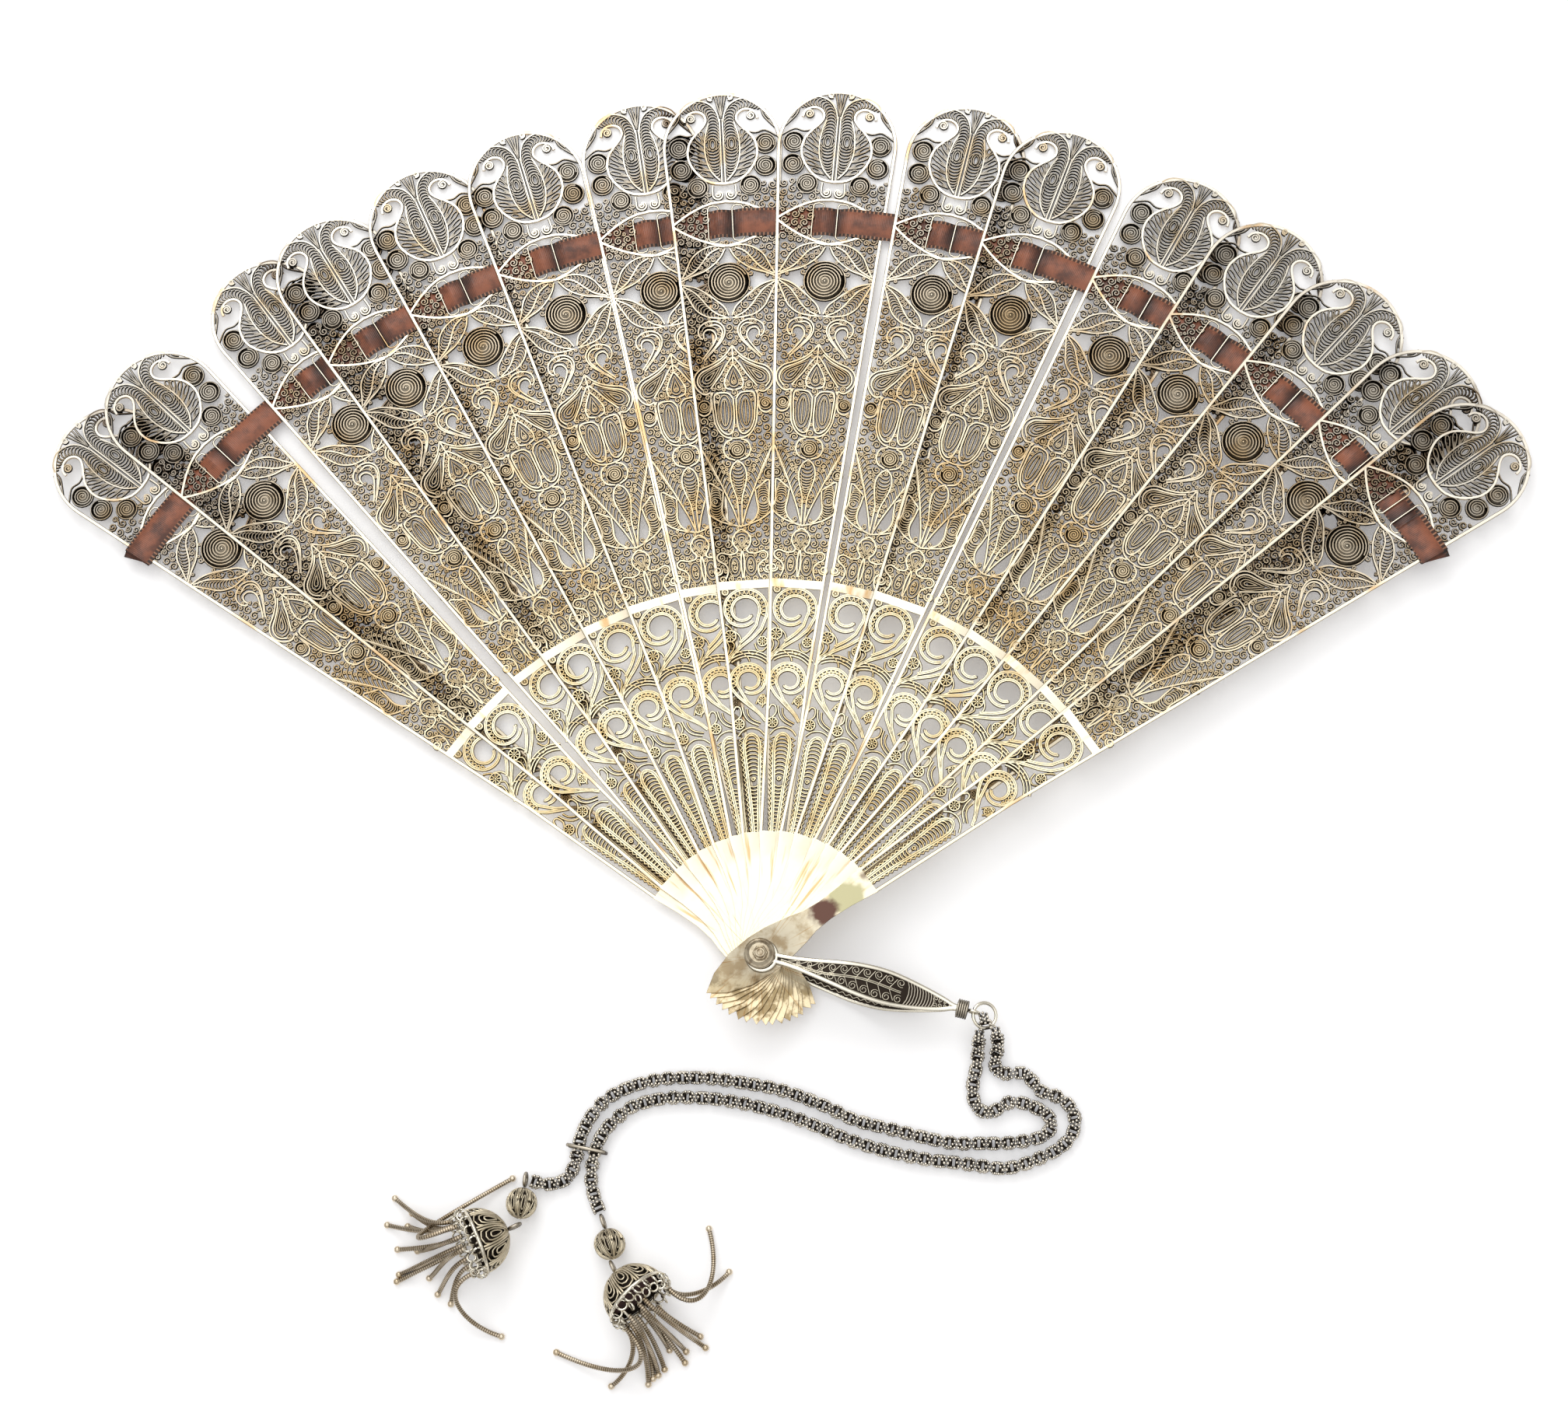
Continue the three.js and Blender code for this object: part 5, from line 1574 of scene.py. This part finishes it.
for number in range(10):
    along = 27.8 + number * 0.6
    arm_ribs += scales([(0, along), (0, along + 0.1)], [bail_half(along) - 0.3], 1.0, 0.45)
for number in range(5):
    along = 34.2 + number * 0.95
    half = bail_half(along) - 0.3
    arm_curls += [spiral(side * half * 0.45, along, half * 0.42, 0.1, 1.3, 0, 9, side) for side in (-1, 1)]


def bail_arm(name, under):
    """One arm, lying flat with its underside at zero; the lower arm is turned over."""
    bpy.ops.mesh.primitive_grid_add(x_subdivisions=2, y_subdivisions=60, size=2 * MM)
    floor = bpy.context.object
    for vertex in floor.data.vertices:
        along = float(np.interp(vertex.co.y / MM, [-1, 1], [1.9, 40.1]))
        vertex.co = (vertex.co.x * (bail_half(along) - 0.25), along * MM, 0.14 * MM)
    thicken = floor.modifiers.new("thickness", "SOLIDIFY")
    thicken.thickness = 0.1 * MM
    select_only(floor)
    bpy.ops.object.modifier_apply(modifier=thicken.name)
    edges = bend_wire("edges", arm_edges, 0.86, 0.44, 0.24, 2)
    waves = bend_wire("waves", scallops, 0.2, 0.16, 0.02)
    eye = bend_wire("eye", [ring(0.2, 0.25, 2.75, 36)], 0.9, 0.45, 0.225, 2)
    inner = bend_wire("curls", arm_curls, 0.17, 0.25, 0.24, 1)
    ribs = bend_wire("ribs", arm_ribs, 0.26, 0.26, 0.24, 1)
    spine = bend_wire("vein", [vein, [(x + 0.3, y) for x, y in vein]], 0.3, 0.3, 0.28)
    # The dark floor is painted shade for the inside of the arm.
    dress(floor, oxide_and_shade_black)
    dress(edges, bright_silver)
    dress(eye, bright_silver)
    for piece in (inner, spine, waves):
        dress(piece, pale_wire)
    dress(ribs, dark_silver)
    arm = join(name, [edges, eye, inner, ribs, spine, waves, floor])
    if under:
        arm.data.transform(Matrix.Translation((0, 0, 0.45 * MM)) @ Matrix.Rotation(math.pi, 4, "Y"))
    return arm


upper_arm = bail_arm("bail_upper_arm_wire", False)
bend_to_arm(upper_arm, STACK_HEIGHT + 0.2, BAIL_MIDDLE + 0.125)
lower_arm = bail_arm("bail_lower_arm_wire", True)
bend_to_arm(lower_arm, -0.65, BAIL_MIDDLE - 0.125 - 0.45)
for piece, node in ((upper_arm, "bail_upper_arm"), (lower_arm, "bail_lower_arm")):
    set_in(piece, bail_frame)
    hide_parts(node)
    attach(piece, "bail")
print("arm faces:", len(upper_arm.data.polygons))

# %% [markdown]
# The collar is five turns of wire round a sleeve, and binds the ends of the two arms. Its small loop
# holds the jump ring.

# %% Collar and jump ring
LOOP_PLACE = BAIL_LENGTH + 0.2 + 1.1


def upright_ring(along, radius, count=24):
    """A closed circle across the bail, at that distance from the rivet."""
    turns = [math.tau * step / count for step in range(count)]
    line = [(radius * math.cos(turn), along, radius * math.sin(turn)) for turn in turns]
    return line + [line[0]]


coil = [upright_ring(BAIL_LENGTH - COLLAR + 0.45 + number * 0.43, 1.65) for number in range(5)]
collar_wire = bend_wire("collar_coil", coil, 0.4, sides=2)
sleeve = lathe("collar_sleeve", [(0.95, 0), (1.3, 0), (1.3, COLLAR), (0.95, COLLAR), (0.95, 0)], 20)
sleeve.data.transform(at(0, BAIL_LENGTH - COLLAR + 0.2, 0) @ Matrix.Rotation(-math.pi / 2, 4, "X"))
small_loop = bend_wire(
    "small_loop",
    [[(0, LOOP_PLACE + 1.1 * math.cos(t), 1.1 * math.sin(t)) for t in np.linspace(0, math.tau, 25)]],
    0.6,
    sides=2,
)
dress(collar_wire, dark_silver)
# The sleeve inside the coil is dark as painted shade.
dress(sleeve, oxide_and_shade_black)
dress(small_loop, bright_silver)
collar = join("bail_collar_wire", [collar_wire, sleeve, small_loop])
collar.data.transform(at(0, 0, BAIL_MIDDLE))

jump = bend_wire("jump_ring_wire", [ring(0, 2.4, 2.4, 40)], 0.7, sides=2)
jump.data.transform(at(0, LOOP_PLACE, BAIL_MIDDLE) @ Matrix.Rotation(-math.radians(25), 4, "X"))
dress(jump, bright_silver)
for piece, node in ((collar, "bail_collar"), (jump, "jump_ring")):
    set_in(piece, bail_frame)
    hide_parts(node)
    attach(piece, "bail")
print("collar faces:", len(collar.data.polygons), "jump ring faces:", len(jump.data.polygons))

# %% [markdown]
# The chains' first cages sit in the jump ring, where both strands begin. Granules are dressed bright and
# the posts between them dark, in oxide and painted shade, and each strand's posts are joined to it.

# %% Chain finish
chain_silver = lit_top_material(
    "chain_silver", colour(1.0, 0.93, 0.8), colour(0.06, 0.045, 0.032), 0.3, 0.8
)
ring_middle = bail_frame @ (Vector((0, LOOP_PLACE + 1.9, BAIL_MIDDLE - 0.4)) * MM)
first_route = [ring_middle, right_route[0].lerp(left_route[0], 0.5)]
first_cages = strung("chain_first_cages", first_route, flowers)
first_posts = strung("first_posts", first_route, posts)
dark_parts = ((right_chain, right_posts), (left_chain, left_posts), (first_cages, first_posts))
for strand, strand_posts in dark_parts:
    dress(strand, chain_silver)
    dress(strand_posts, oxide_and_shade_black)
    join(strand.name, [strand, strand_posts])
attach(first_cages, "bail")
remove(flowers, posts)
print("cages in the ring:", len(first_cages.data.polygons))

# %% [markdown]
# The slider is a flat band of wire, a rectangle with cut corners round both strands.

# %% Slider
slider_right, slider_left = Vector((-32.5, -35.2, CHAIN_LIFT)), Vector((-35.9, -35.2, CHAIN_LIFT))
inside_width = (slider_right - slider_left).length + CHAIN_WIDTH + 2 * SLIDER_GAP + 0.6
half_width = inside_width / 2 + 0.22
half_height = (CHAIN_WIDTH + 2 * SLIDER_GAP) / 2 + 0.22
corners = [(half_width, half_height - 0.5), (half_width - 0.5, half_height)]
corners += [(-x, y) for x, y in reversed(corners)]
corners += [(x, -y) for x, y in reversed(corners)]
frame_line = [(x, 0, z) for x, z in corners] + [(corners[0][0], 0, corners[0][1])]
slider = bend_wire("slider_wire", [frame_line], SLIDER_WIRE, sides=1)
slider.data.transform(Matrix.Diagonal((1, 1.5, 1, 1)))
middle_place = (slider_left + slider_right) / 2 + Vector((0, 0, TABLE))
set_in(slider, at(*middle_place) @ Matrix.Rotation(-math.radians(12), 4, "Z"))
dress(slider, dark_silver)
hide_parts("chain_slider")
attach(slider, "bail")
print("slider:", round(2 * half_width, 2), "x", round(2 * half_height, 2), "mm")

# %% [markdown]
# The tassels. A bead and a domed cap are both made of gores: meridian wires with nested drops between
# them, bent over a round form. The same drawing serves both, once on a ball and once on a dome. The
# fringe is bullion, a fine wire coiled round a core, so each strand's thickness rises and falls along it.

# %% Gores on a round form
def on_ball(radius):
    """Rise -1 is the bottom of the ball and 1 its top."""
    def place(lon, rise):
        lat = rise * math.pi / 2
        out = radius * math.cos(lat)
        return (out * math.cos(lon), out * math.sin(lon), radius * math.sin(lat))
    return place


def on_dome(radius, height):
    """Rise 0 is the top of the dome and 1 its mouth; Z runs from the top to the mouth."""
    def place(lon, rise):
        turn = rise * math.pi / 2
        out = radius * math.sin(turn)
        return (out * math.cos(lon), out * math.sin(lon), height * (1 - math.cos(turn)))
    return place


def gores(place, count, low, high, width_share=0.72):
    """Meridian wires in pairs, and nested drops in each gore."""
    meridians, drops = [], []
    step = math.tau / count
    for number in range(count):
        lon = number * step
        for side in (-0.07, 0.07):
            meridians.append([place(lon + side * step, rise) for rise in np.linspace(low, high, 15)])
        for scale in (1.0, 0.68, 0.36):
            loop = []
            for turn in np.linspace(0, math.tau, 15):
                rise = 0.52 - 0.47 * scale * math.cos(turn) + 0.08 * (1 - scale)
                swell = math.copysign(abs(math.sin(turn)) ** 0.7, math.sin(turn))
                wide = width_share / 2 * scale * swell * (1 - 0.3 * math.cos(turn))
                loop.append(place(lon + step * (0.5 + wide), low + (high - low) * rise))
            loop[-1] = loop[0]
            drops.append(loop)
    return meridians, drops


print("gore helper ready")

# %% [markdown]
# Both tassels hang on a ring, a bead and a link, and lie on their side on the table. A strand leaves the
# cap's mouth, falls, and ends on the table where its ball end was seen.

# %% Tassel places
TASSELS = {
    "tassel_left": {
        "ring": (-46.1, -40.9, 1.9), "bead": (-46.6, -45.5, 3.15), "link": (-47.7, -50.0, 4.4),
        "apex": (-49.0, -50.6, 5.2), "mouth": (-54.7, -53.0, 6.8),
        "ends": [
            (-48.8, -40.6), (-71.7, -44.2), (-68.3, -47.1), (-69.1, -49.6), (-73.1, -49.3), (-71.0, -54.0),
            (-67.1, -54.3), (-70.6, -58.8), (-71.0, -60.1), (-64.7, -59.5), (-63.0, -62.6), (-60.4, -64.4),
            (-50.5, -70.6),
        ],
    },
    "tassel_right": {
        "ring": (-31.0, -49.0, 1.9), "bead": (-29.5, -53.4, 3.15), "link": (-28.6, -57.9, 4.5),
        "apex": (-27.95, -59.2, 5.35), "mouth": (-23.7, -63.6, 6.9),
        "ends": [
            (-10.7, -50.5), (-6.8, -58.7), (-39.9, -73.6), (-29.3, -80.0), (-22.2, -79.7), (-21.3, -78.6),
            (-20.3, -78.0), (-19.1, -76.9), (-15.2, -75.7), (-15.0, -73.6), (-18.2, -73.3), (-12.3, -70.8),
            (-11.3, -72.9),
        ],
    },
}
BEAD_RADIUS, RING_RADIUS, CAP_RADIUS, CAP_HEIGHT = 3.05, 1.2, 6.3, 6.4
STRAND, STRAND_RISE = 0.52, 0.75


def laid_along(piece, direction, place):
    """Turns the piece's Z to the direction and moves it to its place over the table."""
    turn = Vector((0, 0, 1)).rotation_difference(Vector(direction).normalized()).to_matrix().to_4x4()
    return set_in(piece, at(place[0], place[1], place[2] + TABLE) @ turn)


def strand_line(facts, end, number):
    """A strand's middle line: out of the cap's mouth, and down to its end on the table."""
    apex, mouth = Vector(facts["apex"]), Vector(facts["mouth"])
    axis = (mouth - apex).normalized()
    side = Vector((-axis.y, axis.x, 0)).normalized()
    up = -axis.cross(side)
    tip = Vector((end[0], end[1], STRAND_RISE))
    reach = CAP_RADIUS - 0.9
    across = min(max(side.dot(tip - mouth) * 0.42, -reach), reach)
    tall = math.sqrt(max(reach**2 - across**2, 0)) * (number % 3 - 1) * 0.75
    root = apex + axis * (CAP_HEIGHT + 2.5) + side * across + up * tall
    behind = max(8 - axis.dot(tip - mouth), 0)
    leave = root + axis * (0.32 * (tip - root).length + 0.5 * behind)
    arrive = leave.lerp(tip, 0.6) + axis * 0.5 * behind
    arrive.z = STRAND_RISE + 0.9
    line = []
    for share in np.linspace(0, 1, 121):
        rest = 1 - share
        bent = leave * 3 * rest**2 * share + arrive * 3 * rest * share**2
        line.append(root * rest**3 + bent + tip * share**3)
    return [point + Vector((0, 0, TABLE)) for point in line]


print("tassels:", list(TASSELS))

# %% [markdown]
# Bullion is drawn as a tube whose thickness goes up and down with every turn of the coil. How deep each
# vertex lies in a groove is kept with it, so that the material can paint shade between the turns.

# %% Fringe strands
COIL_PITCH, GROOVE = 0.23, 0.76


def bullion(name, lines):
    """Coiled wire along each line: the tube's thickness rises and falls with every turn of the coil."""
    curve = bpy.data.curves.new(name, "CURVE")
    curve.dimensions = "3D"
    curve.use_fill_caps = True
    curve.bevel_depth = MM
    curve.bevel_resolution = 1
    for line in lines:
        lengths = measured(line)
        count = int(lengths[-1] / COIL_PITCH)
        points = [point_at(line, lengths, lengths[-1] * number / count)[0] for number in range(count + 1)]
        add_spline(curve, points, False)
        for number, point in enumerate(curve.splines[-1].points):
            point.radius = STRAND * (1.0 if number % 2 else GROOVE)
    centres = np.array([point.co[:3] for spline in curve.splines for point in spline.points])
    piece = linked(name, curve)
    select_only(piece)
    bpy.ops.object.convert(target="MESH")
    spots = vertex_places(piece.data)
    thickness = np.array([np.sqrt(((centres - spot) ** 2).sum(axis=1).min()) for spot in spots])
    mark(piece.data, "groove", np.clip((STRAND * MM - thickness) / (0.2 * STRAND * MM), 0, 1))
    return piece


def bullion_material():
    """Gilt wire, with painted shade in the grooves between the turns of the coil."""
    material, tree, shader = metal("bullion_gilt", 0.32)
    tone = patchy(tree, 300.0, 0.4, 0.65, colour(0.76, 0.66, 0.51), colour(0.58, 0.47, 0.32))
    # Painted shade in the grooves between the coil's turns.
    tone = mix_colour(tree, attribute(tree, "groove"), tone, colour(0.13, 0.1, 0.07), "MULTIPLY")
    tree.links.new(tone, shader["Base Color"])
    return material


bullion_gilt = bullion_material()
cap_gilt = lit_top_material("cap_gilt", colour(0.88, 0.78, 0.58), colour(0.16, 0.12, 0.07), 0.32, 0.1)
dark_thread = lit_top_material("dark_thread", colour(0.10, 0.035, 0.03), colour(0.05, 0.02, 0.018), 0.9)
dark_thread.node_tree.nodes["Principled BSDF"].inputs["Metallic"].default_value = 0.0

print("fringe helpers ready")

# %% [markdown]
# Now each tassel is put together: ring and link, bead on a dark ball, cap on a dark dome with two rows of
# hanging loops under its rim, the dark core, and the fringe with a ball at the end of each strand. The dark
# ball and dome are painted shade for the hollows inside the bead and the cap.

# %% The two tassels
LOOPS = 18
LOOP_ROWS = (
    (CAP_HEIGHT + 0.95, CAP_RADIUS - 0.2, 1.0, 0.75, 0.0),
    (CAP_HEIGHT + 2.35, CAP_RADIUS - 0.75, 0.8, -0.8, 0.5),
)


def small_ring(name, direction, place):
    """A wire ring that stands across the direction."""
    made = bend_wire(name, [ring(0, 0, RING_RADIUS, 28)], 0.7, sides=2)
    laid_along(made, (-direction.y, direction.x, 0), place)
    return dress(made, dark_silver)


def tassel_bead():
    meridians, drops = gores(on_ball(BEAD_RADIUS - 0.12), 8, -0.93, 0.93)
    # A dark ball inside the bead, painted shade for its hollow.
    shell = ball(BEAD_RADIUS - 0.5, 3)
    dress(shell, oxide_and_shade_black)
    wires = [bend_wire("bead", meridians, 0.26, sides=1), bend_wire("bead_drops", drops, 0.2)]
    for piece in wires:
        dress(piece, cap_gilt)
    return join("bead", wires + [shell])


def hanging_loops():
    """Two rows of round loops under the cap's rim, the lower row between those of the upper."""
    lines = []
    for number, (height, radius, size, tilt, offset) in itertools.product(range(LOOPS), LOOP_ROWS):
        turn = math.tau * (number + offset) / LOOPS
        out = Vector((math.cos(turn), math.sin(turn), 0))
        flat = Vector((-out.y, out.x, 0)) * math.cos(tilt) + out * math.sin(tilt)
        centre = out * radius + Vector((0, 0, height))
        loop = []
        for t in np.linspace(0, math.tau, 15)[:-1]:
            loop.append(tuple(centre + flat * size * math.sin(t) + Vector((0, 0, size * math.cos(t)))))
        lines.append(loop + [loop[0]])
    return bend_wire("loops", lines, 0.42, sides=1)


def tassel_cap():
    meridians, drops = gores(on_dome(CAP_RADIUS - 0.1, CAP_HEIGHT), 10, 0.12, 0.96, 0.84)
    inner = on_dome(CAP_RADIUS - 0.55, CAP_HEIGHT - 0.4)
    dome = lathe("dome", [inner(0, rise)[::2] for rise in np.linspace(0, 1, 9)], 24)
    dome.data.transform(at(0, 0, 0.4))
    # The dark dome is painted shade for the hollow inside the cap.
    dress(dome, oxide_and_shade_black)
    rim = bend_wire("rim", [ring(0, 0, CAP_RADIUS + 0.1, 60)], 0.7, sides=2)
    rim.data.transform(at(0, 0, CAP_HEIGHT + 0.1))
    top = bend_wire("top", [ring(0, 0, 0.9, 20)], 0.5, sides=1)
    top.data.transform(at(0, 0, 0.25))
    wires = [bend_wire("cap", meridians, 0.44, sides=1), bend_wire("cap_drops", drops, 0.34, sides=1), top]
    bright = [rim, hanging_loops()]
    for piece in wires:
        dress(piece, cap_gilt)
    for piece in bright:
        dress(piece, bright_silver)
    return join("cap", wires + bright + [dome])


def tassel_core():
    return dress(lathe("core", [(0, 1.5), (2.0, 1.9), (4.2, 4.0), (4.9, 5.4), (0, 5.4)], 24), dark_thread)


def tassel_fringe(facts):
    lines = [strand_line(facts, end, number) for number, end in enumerate(facts["ends"])]
    strands = bullion("strands", lines)
    granule = ball(0.68, 2)
    balls = copies("balls", granule, [Matrix.Translation(line[-1] * MM) for line in lines])
    remove(granule)
    for piece in (strands, balls):
        dress(piece, bullion_gilt)
    return join("fringe", [strands, balls])


for name, facts in TASSELS.items():
    apex, mouth = Vector(facts["apex"]), Vector(facts["mouth"])
    bead_place, link_place, ring_place = Vector(facts["bead"]), Vector(facts["link"]), Vector(facts["ring"])
    made = {
        "ring": (small_ring("ring", bead_place - ring_place, ring_place), "oxidised_silver"),
        "link": (small_ring("link", apex - link_place, link_place), "oxidised_silver"),
        "bead": (laid_along(tassel_bead(), bead_place - ring_place, bead_place), "bright_gilt"),
        "cap": (laid_along(tassel_cap(), mouth - apex, apex), "bright_gilt"),
        "core": (laid_along(tassel_core(), mouth - apex, apex), "dark_thread"),
        "fringe": (tassel_fringe(facts), "bright_gilt"),
    }
    for part, (piece, slot) in made.items():
        piece.name = f"{name}_{part}_wire"
        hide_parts(f"{name}_{part}")
        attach(piece, name)
print("tassels done")

# %% [markdown]
# The light is soft and comes from all round, with one large lamp at the upper left, as in a studio.
# The table is plain white, and keeps the fan's shadow. Only rays from the camera, from a shiny piece or
# through a clear one see the table as bright as that, with a faint painted glow that lightens the fan's
# shadow; it throws less light back up at the wires.

# %% Light and table
world = bpy.data.worlds.new("studio")
bpy.context.scene.world = world
world.use_nodes = True
tree = world.node_tree
direction = add(tree, "ShaderNodeTexCoord")
sky = add(tree, "ShaderNodeValToRGB")
sky.color_ramp.elements[0].color = colour(0.17, 0.16, 0.15)
sky.color_ramp.elements[1].color = colour(1.0, 1.0, 1.0)
middle_stop = sky.color_ramp.elements.new(0.55)
middle_stop.color = colour(0.34, 0.33, 0.32)
tree.links.new(split(tree, direction.outputs["Generated"])["Z"], sky.inputs["Fac"])
tree.links.new(sky.outputs["Color"], tree.nodes["Background"].inputs["Color"])
tree.nodes["Background"].inputs["Strength"].default_value = 1.5

lamp_data = bpy.data.lights.new("window_light", "AREA")
lamp_data.shape = "DISK"
lamp_data.size = 0.9
lamp_data.energy = 5.0
lamp = linked("window_light", lamp_data)
lamp.location = (-0.2, 1.0, 0.95)
lamp.rotation_euler = (Vector((0, 0.06, 0)) - lamp.location).to_track_quat("-Z", "Y").to_euler()

bpy.ops.mesh.primitive_plane_add(size=3, location=(0, 0, TABLE * MM))
table = bpy.context.object
table.name = "white_table"
table_material, tree, shader = metal("white_table", 0.7, 0.0)
rays = add(tree, "ShaderNodeLightPath").outputs
shiny = calculate(tree, "MAXIMUM", rays["Is Glossy Ray"], rays["Is Transmission Ray"])
seen = calculate(tree, "MAXIMUM", rays["Is Camera Ray"], shiny)
tone = mix_colour(tree, seen, colour(0.3, 0.29, 0.28), colour(0.955, 0.955, 0.957))
# Painted light: a faint glow, seen by the same rays, lightens the fan's shadow on the table.
glow = mix_colour(tree, seen, colour(0, 0, 0), colour(0.17, 0.17, 0.177))
tree.links.new(tone, shader["Base Color"])
tree.links.new(glow, shader["Emission Color"])
shader["Emission Strength"].default_value = 1.0
dress(table, table_material)
bpy.context.scene.view_settings.view_transform = "Standard"
print("light and table set")
